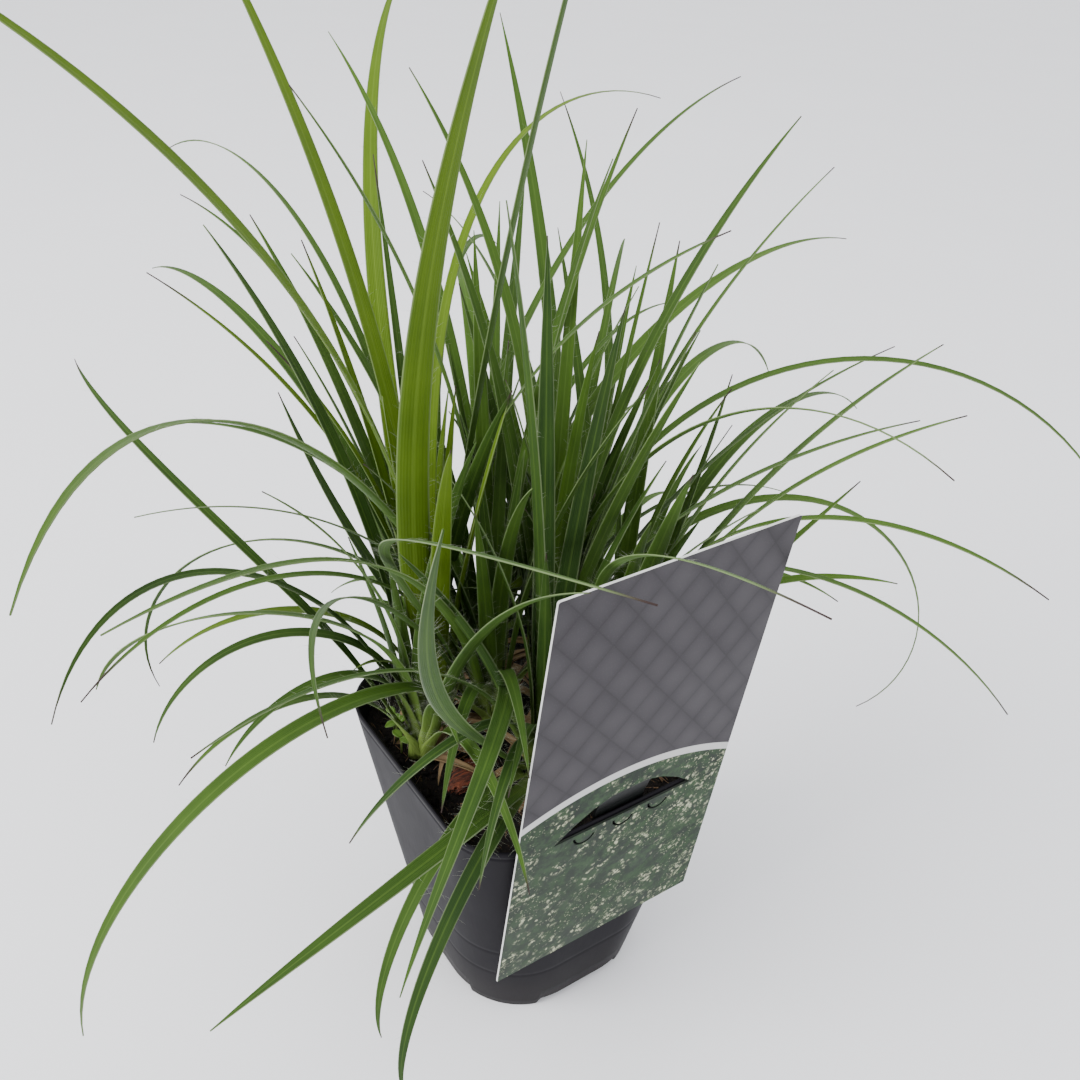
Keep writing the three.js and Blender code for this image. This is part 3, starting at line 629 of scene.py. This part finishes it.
facing = tree.nodes.new("ShaderNodeVectorMath")
facing.operation = "DOT_PRODUCT"
tree.links.new(tree.nodes.new("ShaderNodeTexCoord").outputs["Normal"], facing.inputs[0])
facing.inputs[1].default_value = (0, -math.cos(WALL_TILT), -math.sin(WALL_TILT))
printed = ease(tree, facing.outputs["Value"], 0.6, 0.9)
from_middle = sums(tree, "ABSOLUTE", sums(tree, "SUBTRACT", t, LABEL_MIDDLE))
side_edge = ease(tree, sums(tree, "ABSOLUTE", x), LABEL_HALF_WIDTH - 0.6, LABEL_HALF_WIDTH - 0.3)
end_edge = ease(tree, from_middle, LABEL_HALF_HEIGHT - 0.6, LABEL_HALF_HEIGHT - 0.3)
behind = ease(tree, facing.outputs["Value"], -0.9, -0.6, 1, 0)
white = sums(tree, "MAXIMUM", sums(tree, "MAXIMUM", side_edge, end_edge), behind)
bare = blend(tree, grain(tree, flat, 120, 2), (0.55, 0.55, 0.54), (0.68, 0.68, 0.66))
# Cut edges that are neither the outer edge nor the back get the near-black green of painted shade.
sheet = blend(tree, printed, blend(tree, white, (0.02, 0.025, 0.02), bare), face_print)

# The tongue is bent back through the slot, where it lies in the rim's shade: that shade is painted on it
# as a near-black colour.
LABEL_GAP = 0.4
SHEET_BACK = -POT_BASE_SIDE / 2 * math.cos(WALL_TILT) - LABEL_GAP
painted_tongue_shade = ease(tree, sums(tree, "MULTIPLY", inward, 1000), SHEET_BACK + 0.1, SHEET_BACK + 0.6)
feed(tree, shader.inputs["Base Color"], blend(tree, painted_tongue_shade, sheet, (0.005, 0.006, 0.0055)))
feed(tree, shader.inputs["Roughness"], sums(tree, "MULTIPLY_ADD", grain(tree, flat, 70, 3), 0.2, 0.38))
relief(tree, shader, sums(tree, "MULTIPLY", crown, on_band), 0.12, 0.0004)

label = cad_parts["label"]
for place in label.material_slots:
    place.material = label_finish
print("label printed:", len(label.material_slots), "slot")

# %% [markdown]
# ## Leaf growth rule
# Every leaf leaves its shoot at a turn (compass direction) and a rise (angle above level), bends down
# more and more towards its tip, and may sway to one side. The solids follow this rule, so the leaves are
# grown from the same values here, in millimetres and degrees. Beyond its foot, each thin leaf follows the
# middle line of its solid blade.

# %% The shoots' own values
# Each shoot: where it stands, how many filling leaves it has, how bright it is, and its leading leaves as
# (turn, rise, length, bend, width, sway).
SHOOTS = {
    "shoot_lime": ((-24, 20), 5, 0.5, (
        (184, 89, 275, 66, 7.5, -45), (125, 87, 250, 30, 7.5, 0), (90, 74, 290, 60, 6, -45),
        (220, 73, 262, 10, 8.6, 60), (80, 89, 280, 107, 3.2, -75), (142, 86, 172, 55, 2.9, 0),
        (130, 88, 140, 42, 2.9, 0))),
    "shoot_left": ((-35, 9), 9, 0.38, (
        (205, 89, 150, 158, 5.9, -71), (155, 88, 125, 160, 3.7, 30), (190, 86, 100, 140, 4.2, 0),
        (150, 76, 180, 95, 2.9, 100), (172, 68, 185, 72, 3.4, -90))),
    "shoot_heart": ((-8, 12), 15, 0.44, (
        (171, 77, 269, 87, 5.2, 74), (206, 55, 200, 142, 5.9, -22), (254, 61, 162, 118, 5.5, -47),
        (138, 44, 127, -10, 5.2, -25), (220, 67, 219, 59, 4.3, -9), (166, 80, 156, 82, 4, 0),
        (142, 80, 152, 88, 4.2, 20), (119, 72, 185, 180, 3.2, 30), (180, 76, 172, 110, 3.2, 20),
        (175, 64, 205, 62, 2.9, 70), (189, 65, 250, 56, 2.9, 99))),
    "shoot_front": ((-8, -16), 8, 0.14, (
        (226, 34, 142, 58, 5.8, -46), (222, 30, 128, 134, 4.8, -22), (227, 42, 122, 145, 4.5, -8),
        (212, 67, 162, 70, 3.4, 0), (220, 74, 108, 126, 5.3, -38), (206, 47, 218, -10, 5.2, 47),
        (232, 70, 95, 120, 4.9, 0))),
    "shoot_centre": ((12, 12), 17, 0.5, (
        (347, 85, 201, 36, 5.4, 0), (9, 61, 247, 195, 4.2, -68), (355, 89, 249, 142, 3.4, -60),
        (286, 76, 165, 64, 4.9, 45), (52, 68, 186, 40, 3.4, 0), (44, 70, 218, 88, 3.4, 10),
        (335, 62, 114, 0, 3.7, 0), (115, 85, 178, 24, 5.4, 0), (77, 89, 204, 36, 4.7, 46),
        (300, 88, 218, 96, 2.9, -40), (292, 74, 187, 119, 2.9, 0))),
    "shoot_right": ((28, -2), 13, 0.6, (
        (325, 72, 160, 34, 5.6, 0), (280, 82, 185, 100, 3.4, 0), (320, 54, 115, 0, 4.2, 0),
        (345, 88, 120, 30, 3.7, 0), (332, 70, 120, -8, 4.2, 0), (10, 78, 180, 120, 4.7, 0),
        (215, 64, 229, 50, 2.9, 48))),
    "shoot_back": ((4, 34), 15, 0.55, (
        (355, 82, 222, 96, 6.6, 8), (30, 86, 176, 104, 3.2, -10), (355, 84, 190, 18, 4.2, 0),
        (88, 87, 224, 56, 4.2, 6), (125, 88, 204, 34, 4.2, 20), (65, 80, 215, 120, 5.4, 0))),
    "shoot_back_right": ((29, 27), 15, 0.6, (
        (342, 81, 188, 37, 3.7, 0), (18, 80, 154, 2, 2.9, 0), (325, 69, 158, 40, 3.7, 0),
        (55, 65, 220, 4, 5.6, 34), (28, 52, 216, 5, 3.5, 60), (72, 88, 190, 78, 3.7, 22),
        (20, 76, 200, 130, 5.4, 0))),
    "shoot_back_left": ((-15, 38), 8, 0.5, (
        (315, 83, 272, 8, 6.6, 0), (305, 88, 196, 58, 5.9, 0), (93, 78, 172, 8, 3.4, 0),
        (80, 86, 262, 110, 3.2, 6), (345, 89, 245, 76, 3.2, 0), (100, 86, 198, 80, 2.9, 0),
        (118, 78, 210, 100, 4.9, -22), (66, 84, 225, 120, 3.7, -25))),
}
print(len(SHOOTS), "shoots with", sum(len(shoot[3]) for shoot in SHOOTS.values()), "leading leaves")

# %% Drawing the filling leaves
SEED = 4711
DRAW_FACTOR, DRAW_MODULUS = 16807, 2147483647
GOLDEN_TURN = 137.5
MOST_TWIST = 25


def seeded_numbers(state):
    """The same endless row of numbers between 0 and 1 that the solids drew from."""
    while True:
        state = state * DRAW_FACTOR % DRAW_MODULUS
        yield state / DRAW_MODULUS


def filling_leaves(first_turn, count, drawn):
    """Short leaves set round the shoot by the golden angle, every third one arched."""
    leaves = []
    for i in range(count):
        arched = i % 3 == 2
        turn = first_turn + 60 + GOLDEN_TURN * i + 20 * next(drawn)
        rise = 66 + 14 * next(drawn) if arched else 77 + 11 * next(drawn)
        length = 75 + 60 * next(drawn) if arched else 105 + 80 * next(drawn)
        bend = 70 + 60 * next(drawn) if arched else 5 + 40 * next(drawn)
        width = 3.2 + 2 * next(drawn) if arched else 3.6 + 3 * next(drawn)
        leaves.append((turn, rise, length, bend, width, 0))
    return leaves


drawn = seeded_numbers(SEED)
leading = [(name, leaf) for name, shoot in SHOOTS.items() for leaf in shoot[3]]
filling = []
for name, (_, count, _, leaves) in SHOOTS.items():
    filling += [(name, leaf) for leaf in filling_leaves(leaves[0][0], count, drawn)]
grown = [(name, leaf, MOST_TWIST * (2 * next(drawn) - 1)) for name, leaf in leading + filling]
print(len(leading), "leading and", len(filling), "filling leaves to look for")

# %% [markdown]
# ## Which leaves found room
# In the solids, a leaf that would have cut through a neighbour was swung or lifted a little, or left out.
# Testing all of that again would be slow. Each try ends in a small square tip, so it is enough to look
# for the try whose tip corners are vertices of the shoot's solid.

# %% Following a leaf
PATH_STEPS = 48
BEND_POWER = 1.4


def leaf_path(leaf):
    """Centre points of a leaf from its root, in millimetres."""
    point, points = Vector((0, 0, 0)), [Vector((0, 0, 0))]
    for i in range(PATH_STEPS):
        point = point + heading(leaf, (i + 0.5) / PATH_STEPS) * (leaf[2] / PATH_STEPS)
        points.append(point)
    return points


def heading(leaf, s):
    """The direction in which a leaf runs at a share s of its length."""
    turn = math.radians(leaf[0] + leaf[5] * s)
    rise = math.radians(leaf[1] - leaf[3] * s**BEND_POWER)
    return Vector((math.cos(rise) * math.cos(turn), math.cos(rise) * math.sin(turn), math.sin(rise)))


def crosswise(leaf, s, roll):
    """The leaf's sideways and upper directions at s, rolled by some degrees about its run."""
    turn = math.radians(leaf[0] + leaf[5] * s)
    along = heading(leaf, s)
    across = Matrix.Rotation(math.radians(roll), 3, along) @ Vector((-math.sin(turn), math.cos(turn), 0))
    return across, along.cross(across)


first_tip = leaf_path(leading[0][1])[-1]
print("the first leaf's tip is", round(first_tip.length), "mm from its root")

# %% Finding each leaf's own try
ROOT_RISE, MOST_RISE = 3, 89
SWINGS = (0, 4, -4, 8, -8, 12, -12, 16, -16, 21, -21, 26, -26)
LIFTS = (0, 4, -4, 8, -8, 12, -12)
TIP_HALF_WIDTH, TIP_HALF_DEPTH = 0.4, 0.35
CLOSE_ENOUGH = 0.05 * MM


def tip_matches(tree, root, leaf, twist):
    """How many of the four tip corners of this try are vertices of the solid."""
    end = root + leaf_path(leaf)[-1]
    across, up = crosswise(leaf, 1 - 0.5 / PATH_STEPS, twist)
    found = 0
    for side in (-TIP_HALF_WIDTH, TIP_HALF_WIDTH):
        for face in (-TIP_HALF_DEPTH, TIP_HALF_DEPTH):
            corner = (end + across * side + up * face) * MM
            found += tree.find(corner)[2] < CLOSE_ENOUGH
    return found


def settled_leaf(tree, root, leaf, twist):
    """The try of a leaf that the solid holds, or None."""
    for lift in LIFTS:
        for swing in SWINGS:
            tried = (leaf[0] + swing, min(MOST_RISE, leaf[1] + lift), *leaf[2:])
            if tip_matches(tree, root, tried, twist) >= 2:
                return tried
    return None


placed_leaves = {name: [] for name in SHOOTS}
corner_trees = {}
for name in SHOOTS:
    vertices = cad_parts[name].data.vertices
    corner_trees[name] = KDTree(len(vertices))
    for i, vertex in enumerate(vertices):
        corner_trees[name].insert(vertex.co, i)
    corner_trees[name].balance()
for name, leaf, twist in grown:
    at = SHOOTS[name][0]
    settled = settled_leaf(corner_trees[name], Vector((*at, SOIL_TOP + ROOT_RISE)), leaf, twist)
    if settled:
        placed_leaves[name].append((settled, twist))
print("leaves placed:", {name: len(leaves) for name, leaves in placed_leaves.items()})

# %% [markdown]
# ## Shape of one leaf
# A woodrush leaf is a thin strap. At its foot it is a sheath that wraps round the stem, then it opens
# into a shallow gutter, and it flattens and narrows to a fine tip. A curve with a bevel would give a rod.
# A flat grid, with each of its rows moved along the growth rule and curled into an arc, gives the strap,
# its gutter and its sheath at once, and keeps even rows for veins that run along it.

# %% A leaf's surface
FULLNESS = 1.08
SHEATH_LENGTH = 24
SHEATH_HALF_WIDTH = 4.0
SHEATH_WRAP = 1.8
STEM_OFFSET, OFFSET_LENGTH = 2.0, 60
ROOT_WIDTH, ROOT_WIDENING = 0.55, 1.4
TAPER_START, TAPER_END = 2.8, 0.9


def smooth(value):
    """Eases a share between 0 and 1."""
    value = min(1, max(0, value))
    return value * value * (3 - 2 * value)


class Leaf:
    """One leaf: where it stands, how it grows and rolls, and its tint."""

    def __init__(self, root, values, roll, tone, dry=0.0, gutter=0.5, sheath=1.0):
        self.root = root
        self.values = values
        self.roll = roll
        self.tone = tone
        self.dry = dry
        self.gutter = gutter
        self.sheath = sheath
        self.path = leaf_path(values)
        out = math.radians(values[0])
        self.out = Vector((math.cos(out), math.sin(out), 0))
        self.offset = STEM_OFFSET + 1.4 * tone
        # Narrow leaves dry further down from the tip, and no two lengths dry alike.
        self.green_part = 0.97 - 0.28 * max(0, 1 - values[4] / 4.5) - 0.05 * math.sin(values[2])

    def sheathing(self, s):
        """1 at the foot, 0 where the sheath has opened."""
        return self.sheath * smooth(1 - s * self.values[2] / SHEATH_LENGTH)

    def half_width(self, s):
        """Half the leaf's width, flattened out."""
        taper = (1 - min(1, s) ** TAPER_START) ** TAPER_END
        blade = FULLNESS * self.values[4] * min(1, ROOT_WIDTH + ROOT_WIDENING * s) * taper / 2
        wrapped = self.sheathing(s)
        return max(0.1, blade * (1 - wrapped) + SHEATH_HALF_WIDTH * wrapped)

    def point(self, side, s):
        """A point of the leaf, side from -1 to 1, with the directions across and up there."""
        place = s * PATH_STEPS
        i = min(PATH_STEPS - 1, int(place))
        wrapped = self.sheathing(s)
        offset = self.offset * self.sheath * smooth(1 - s * self.values[2] / OFFSET_LENGTH)
        centre = self.path[i].lerp(self.path[i + 1], place - i) + self.root + self.out * offset
        across, up = crosswise(self.values, min(s, 1), self.roll * s)
        half = self.half_width(s)
        curl = SHEATH_WRAP * wrapped + self.gutter * (1 - wrapped) * (1 - 0.6 * s) + 0.08
        angle, radius = curl * side, half / curl
        point = centre + across * (radius * math.sin(angle)) + up * (radius * (1 - math.cos(angle)))
        return point, across * math.cos(angle) + up * math.sin(angle), up


first_leaf = Leaf(Vector((0, 0, 0)), leading[0][1], 0, 0.5)
print("the first leaf is", round(2 * first_leaf.half_width(0.5), 1), "mm wide halfway along")

# %% Adding a leaf to a shoot's mesh
LEAF_COLUMNS, LEAF_ROWS = 6, 46
PALE_LENGTH = 42
DRY_TIP = 0.55


def add_leaf(mesh, layers, leaf):
    """Grows one leaf from a fresh grid in a shoot's mesh, and writes its tint on its corners."""
    sheet = bmesh.ops.create_grid(
        mesh, x_segments=LEAF_COLUMNS, y_segments=LEAF_ROWS, size=1, calc_uvs=True)
    length = leaf.values[2]
    for vert in sheet["verts"]:
        s = (vert.co.y + 1) / 2
        side = vert.co.x
        vert.co = leaf.point(side, s)[0] * MM
        vert[layers["tone"]] = leaf.tone
        tip_share = (s - leaf.green_part) / (1.02 - leaf.green_part)
        vert[layers["pale"]] = leaf.sheath * smooth(1 - s * length / PALE_LENGTH)
        vert[layers["dry"]] = max(leaf.dry, DRY_TIP * smooth(tip_share))


def new_leaf_mesh():
    """An empty mesh with the layers that the leaf finish reads."""
    mesh = bmesh.new()
    mesh.loops.layers.uv.new("strap")
    layers = {name: mesh.verts.layers.float.new(name) for name in ("tone", "pale", "dry")}
    return mesh, layers


print("a leaf has", LEAF_COLUMNS * LEAF_ROWS, "faces before its thickness")

# %% [markdown]
# ## Leaf finish
# Woodrush leaves are mid to dark green with a soft shine, fine parallel veins, a pale yellow-green sheath
# and a dry purplish-brown point. Veins follow the strap, so the finish reads the strap's own UV map: U
# runs across and V along. Each leaf's tint, its pale foot and its dry tip come from values written on its
# corners.

# %% The leaf finishes
def leaf_finish(name, dark, light, vein):
    """Green strap with veins, streaks, a pale foot and a dry tip."""
    finish, tree, shader = new_finish(name, Specular_IOR_Level=0.09)
    strap = tree.nodes.new("ShaderNodeUVMap")
    strap.uv_map = "strap"
    u, v, _ = parts_of(tree, strap.outputs[0])

    def value_of(layer):
        node = tree.nodes.new("ShaderNodeAttribute")
        node.attribute_name = layer
        return node.outputs["Fac"]

    tone, pale, dry = value_of("tone"), value_of("pale"), value_of("dry")
    scaled = [sums(tree, "MULTIPLY", *pair) for pair in ((u, 9), (v, 2.5), (tone, 40))]
    streaks = grain(tree, joined(tree, *scaled), 1, 4)
    patches = grain(tree, placed(tree), 60, 3)
    veins = sums(tree, "MULTIPLY_ADD", sums(tree, "SINE", sums(tree, "MULTIPLY", u, 69)), 0.5, 0.5)
    from_middle = sums(tree, "ABSOLUTE", sums(tree, "SUBTRACT", u, 0.5))
    middle = ease(tree, from_middle, 0.0, 0.09, 1, 0)
    edge = ease(tree, from_middle, 0.43, 0.49)
    shade = sums(tree, "ADD", sums(tree, "MULTIPLY", tone, 0.75), sums(tree, "MULTIPLY", streaks, 0.45))
    shade = sums(tree, "ADD", shade, sums(tree, "MULTIPLY_ADD", patches, 0.5, -0.37), clamp=True)
    colour = blend(tree, shade, dark, light)
    colour = blend(tree, sums(tree, "MULTIPLY", veins, 0.08), colour, vein)
    colour = blend(tree, sums(tree, "MULTIPLY", middle, 0.3), colour, vein)
    colour = blend(tree, sums(tree, "MULTIPLY", edge, 0.3), colour, (0.3, 0.36, 0.2))
    colour = blend(tree, sums(tree, "MULTIPLY", pale, 0.72), colour, (0.2, 0.28, 0.06))
    ragged = sums(tree, "ADD", dry, sums(tree, "MULTIPLY_ADD", streaks, 0.3, -0.15))
    colour = blend(tree, ease(tree, ragged, 0.1, 0.45), colour, (0.04, 0.026, 0.024))
    straw = blend(tree, patches, (0.09, 0.055, 0.03), (0.3, 0.21, 0.11))
    feed(tree, shader.inputs["Base Color"], blend(tree, ease(tree, ragged, 0.65, 0.9), colour, straw))
    feed(tree, shader.inputs["Roughness"], sums(tree, "MULTIPLY_ADD", streaks, 0.25, 0.4))
    relief(tree, shader, sums(tree, "ADD", veins, sums(tree, "MULTIPLY", streaks, 1.5)), 0.27, 0.00025)
    return finish


green_leaf = leaf_finish("green_leaf", (0.013, 0.034, 0.008), (0.072, 0.145, 0.016), (0.11, 0.19, 0.035))
lime_leaf = leaf_finish("lime_leaf", (0.036, 0.075, 0.004), (0.115, 0.195, 0.01), (0.15, 0.235, 0.03))
print("leaf finishes:", green_leaf.name, lime_leaf.name)

# %% [markdown]
# ## The nine shoots
# Each shoot gets all the leaves that its solid has. The real clump is fuller in its middle than the
# solids may be, so each shoot also gets slender inner leaves, short enough to stay inside the outline,
# and a few withered brown ones that lie on the compost round its foot. These small leaves keep clear of
# the pot's wall and the label, but they aren't tested against other leaves, so some of them cross.

# %% Room for a small leaf
LABEL_REACH, LABEL_LOW, LABEL_HIGH = 40, 30, 200
SMALL_LEAF_GAP = 3


def stays_inside(leaf):
    """True where a small leaf neither runs into the pot's wall nor through the label."""
    for point in leaf.path[::3]:
        place = leaf.root + point
        if place.z < POT_HEIGHT + 2:
            turn = math.atan2(place.y, place.x)
            wall = pot_point(turn, min(place.z, POT_HEIGHT), POT_WALL + SMALL_LEAF_GAP)
            if math.hypot(place.x, place.y) > math.hypot(wall.x, wall.y):
                return False
        forward = place.y + POT_BASE_SIDE / 2
        ahead = -forward * math.cos(WALL_TILT) - place.z * math.sin(WALL_TILT)
        upward = place.z * math.cos(WALL_TILT) - forward * math.sin(WALL_TILT)
        by_label = abs(place.x) < LABEL_REACH and LABEL_LOW < upward < LABEL_HIGH
        if by_label and ahead > -SMALL_LEAF_GAP:
            return False
    return True


print("small leaves keep", SMALL_LEAF_GAP, "mm off the pot's wall and the label")

# %% The leaves of one shoot
INNER_LEAVES = 5
WITHERED_LEAVES = 7
SAG_ROLL, SAGS_FROM = 28, 60


def main_leaf(root, values, twist, brightness, chance):
    """A leaf that the solid has. One that bends far may also roll as it sags."""
    roll = twist + SAG_ROLL * (2 * chance.random() - 1) * (values[3] > SAGS_FROM)
    tone = min(1, max(0, brightness + 0.55 * (chance.random() - 0.5)))
    return Leaf(root, values, roll, tone, gutter=chance.uniform(0.2, 0.6))


def inner_leaf(root, turn, brightness, chance):
    """A short leaf in the heart of the shoot. About one in three is arched."""
    arched = chance.random() < 0.3
    values = (turn + 30 * chance.random(), chance.uniform(74, 89),
              chance.uniform(55, 95) if arched else chance.uniform(70, 135),
              chance.uniform(60, 120) if arched else chance.uniform(0, 25),
              chance.uniform(3.4, 5.4) if arched else chance.uniform(4.4, 7.4), chance.uniform(-20, 20))
    start = root + Vector((chance.uniform(-4, 4), chance.uniform(-4, 4), -1))
    return Leaf(start, values, chance.uniform(-60, 60), brightness * chance.uniform(0.4, 1.2),
                gutter=chance.uniform(0.5, 1.2))


def withered_leaf(root, chance):
    """A small dry leaf that has bent down to the compost."""
    values = (360 * chance.random(), chance.uniform(15, 50), chance.uniform(18, 40), 90,
              chance.uniform(1.5, 3.2), chance.uniform(-60, 60))
    return Leaf(root - Vector((0, 0, 1)), values, chance.uniform(-90, 90), chance.random(),
                dry=1.0, gutter=1.1, sheath=0.4)


print("each shoot may gain", INNER_LEAVES, "inner and", WITHERED_LEAVES, "withered leaves")

# %% Growing the shoots
PLANT_SEED = 7
LEAF_THICKNESS = 0.28

chance = random.Random(PLANT_SEED)
all_leaves = {}
for name, (at, _, brightness, _) in SHOOTS.items():
    root = Vector((*at, SOIL_TOP + ROOT_RISE))
    grown_here = [main_leaf(root, values, twist, brightness, chance)
                  for values, twist in placed_leaves[name]]
    small = [inner_leaf(root, GOLDEN_TURN * i, brightness, chance) for i in range(INNER_LEAVES)]
    small += [withered_leaf(root, chance) for _ in range(WITHERED_LEAVES)]
    grown_here += [leaf for leaf in small if stays_inside(leaf)]
    all_leaves[name] = grown_here
    mesh, layers = new_leaf_mesh()
    for leaf in grown_here:
        add_leaf(mesh, layers, leaf)
    lime = name == "shoot_lime"
    shoot = add_piece(name + "_leaves", mesh, lime_leaf if lime else green_leaf,
                      [name])
    thicken(shoot, LEAF_THICKNESS)
print("leaves grown:", sum(len(leaves) for leaves in all_leaves.values()))

# %% [markdown]
# ## White hairs
# The snowy look of this plant comes from long silky white hairs along the leaf margins, thickest where a
# leaf leaves its sheath. A hair system would be quick, but it isn't kept in an exported model. So one
# thin cone is made, cut once across so that it can bend, and copied along the margins with few faces
# each.

# %% One hair
HAIR_SIDES = 3
HAIR_RADIUS = 0.021
HAIR_TIP, HAIR_CUT = 0.2, 0.45

strand = bmesh.new()
bmesh.ops.create_cone(strand, cap_ends=True, segments=HAIR_SIDES, radius1=1, radius2=HAIR_TIP, depth=1)
bmesh.ops.translate(strand, verts=strand.verts, vec=(0, 0, 0.5))
bmesh.ops.bisect_plane(strand, geom=strand.verts[:] + strand.edges[:] + strand.faces[:],
                       plane_co=(0, 0, HAIR_CUT), plane_no=(0, 0, 1))
strand_data = bpy.data.meshes.new("strand")
strand.to_mesh(strand_data)
strand_points = len(strand.verts)
print("a hair has", strand_points, "corners and", len(strand.faces), "faces")
strand.free()

# %% The hair finish
hair_finish, tree, shader = new_finish("silky_hair", Roughness=0.45, Sheen_Weight=0.3)
feed(tree, shader.inputs["Base Color"],
     blend(tree, grain(tree, placed(tree), 300, 2), (0.22, 0.25, 0.16), (0.4, 0.43, 0.33)))
print("hair finish:", hair_finish.name)

# %% Where the hairs grow
HAIR_STEP = 1.9
MARGIN_HAIR, MOUTH_HAIR = 2.6, 6.5
MOUTH_HEIGHT, MOUTH_SPREAD = 24, 12
HAIR_CURL = 0.14


def margin_hairs(leaf, chance):
    """Where each hair of a leaf starts, where it points, and how it curls, in millimetres."""
    hairs = []
    length = leaf.values[2]
    for i in range(int(2 * length / HAIR_STEP)):
        s = 0.02 + 0.88 * chance.random() ** 1.6
        mouth = math.exp(-((s * length - MOUTH_HEIGHT) / MOUTH_SPREAD) ** 2)
        if chance.random() > 0.2 + 0.6 * (1 - s) + mouth:
            continue
        side = chance.choice((-1, 1))
        point, across, up = leaf.point(side, s)
        lean = heading(leaf.values, s) * chance.uniform(0.1, 1.1) + up * chance.uniform(-0.35, 0.35)
        reach = chance.uniform(0.5, 1.2) * (MARGIN_HAIR + (MOUTH_HAIR - MARGIN_HAIR) * mouth)
        curl = Vector([chance.uniform(-1, 1) for _ in range(3)]) * (HAIR_CURL * reach)
        hairs.append((point, (across * side + lean).normalized() * reach, curl))
    return hairs


first_shoot, first_leaves = next(iter(all_leaves.items()))
print("the hairs of", first_shoot, "belong to", sum(leaf.dry < 1 for leaf in first_leaves), "leaves")

# %% Bending and adding the hairs
def bend_hair(points, start, run, curl):
    """Lays one copied cone along its own curve."""
    side = run.orthogonal().normalized()
    other = run.normalized().cross(side)
    for vert in points:
        share = vert.co.z
        place = start + run * share + curl * share * share
        vert.co = (place + (side * vert.co.x + other * vert.co.y) * HAIR_RADIUS) * MM


TABLE_GAP = 1.0
hair_count = 0
for name, leaves in all_leaves.items():
    hairs = [hair for leaf in leaves if leaf.dry < 1 for hair in margin_hairs(leaf, chance)]
    hairs = [hair for hair in hairs if (hair[0] + hair[1] + hair[2]).z > TABLE_GAP]
    mesh = bmesh.new()
    for _ in hairs:
        mesh.from_mesh(strand_data)
    mesh.verts.ensure_lookup_table()
    for i, hair in enumerate(hairs):
        bend_hair(mesh.verts[i * strand_points:(i + 1) * strand_points], *hair)
    add_piece(name + "_hairs", mesh, hair_finish)
    hair_count += len(hairs)
print("hairs:", hair_count)

# %% [markdown]
# ## Seedlings
# A few tiny seedlings have come up in the compost, most of them at the left. Each is a thin stalk with
# two small seed leaves, so a thin cone and two flat grids, bent into spoons, make one.

# %% A few seedlings
# Each is a place on the compost and a height.
SEEDLINGS = ((-38, 22, 9), (-39.5, 16, 7), (-36.5, 27, 8), (-31, -17, 6),
             (-24, -24, 7), (-18, -33, 6), (22, -30, 5))
SEED_LEAF_LENGTH, SEED_LEAF_HALF_WIDTH, SEED_LEAF_THICKNESS = 4.2, 1.5, 0.2

seedling_mesh, layers = new_leaf_mesh()
for x, y, tall in SEEDLINGS:
    foot = Vector((x, y, soil_height(x, y) - 0.5))
    stalk = bmesh.ops.create_cone(seedling_mesh, cap_ends=True, segments=6, radius1=0.35 * MM,
                                  radius2=0.25 * MM, depth=tall * MM)["verts"]
    bmesh.ops.translate(seedling_mesh, verts=stalk, vec=(foot + Vector((0, 0, tall / 2))) * MM)
    for vert in stalk:
        vert[layers["pale"]] = 0.7
        vert[layers["tone"]] = 0.9
    for turn in (0.4 + x, 0.4 + x + math.pi):
        spoon = bmesh.ops.create_grid(
            seedling_mesh, x_segments=4, y_segments=6, size=1, calc_uvs=True)["verts"]
        for vert in spoon:
            s = (vert.co.y + 1) / 2
            half = SEED_LEAF_HALF_WIDTH * math.sin(math.pi * min(0.97, 0.08 + 0.92 * s)) ** 0.7
            out = Vector((math.cos(turn), math.sin(turn), 0)) * (SEED_LEAF_LENGTH * s)
            side = Vector((-math.sin(turn), math.cos(turn), 0)) * (vert.co.x * half)
            lift = Vector((0, 0, tall + 1.3 * s - 1.2 * s * s + 0.25 * vert.co.x**2))
            vert[layers["tone"]] = 0.95
            vert.co = (foot + out + side + lift) * MM
seedlings = add_piece("seedlings", seedling_mesh, green_leaf)
thicken(seedlings, SEED_LEAF_THICKNESS)
print("seedlings:", len(SEEDLINGS))

# %% [markdown]
# ## Sizes at the end
# The solids' box was printed at the start and the dressed plant's box is printed here, so the two
# can be set side by side. The dressed plant has to stay inside the box of its solids.

# %% The dressed plant's box
dressed_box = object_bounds()
lowest, highest = [[round(v, 3) for v in corner] for corner in dressed_box]
print("dressed plant reaches from", lowest, "to", highest)
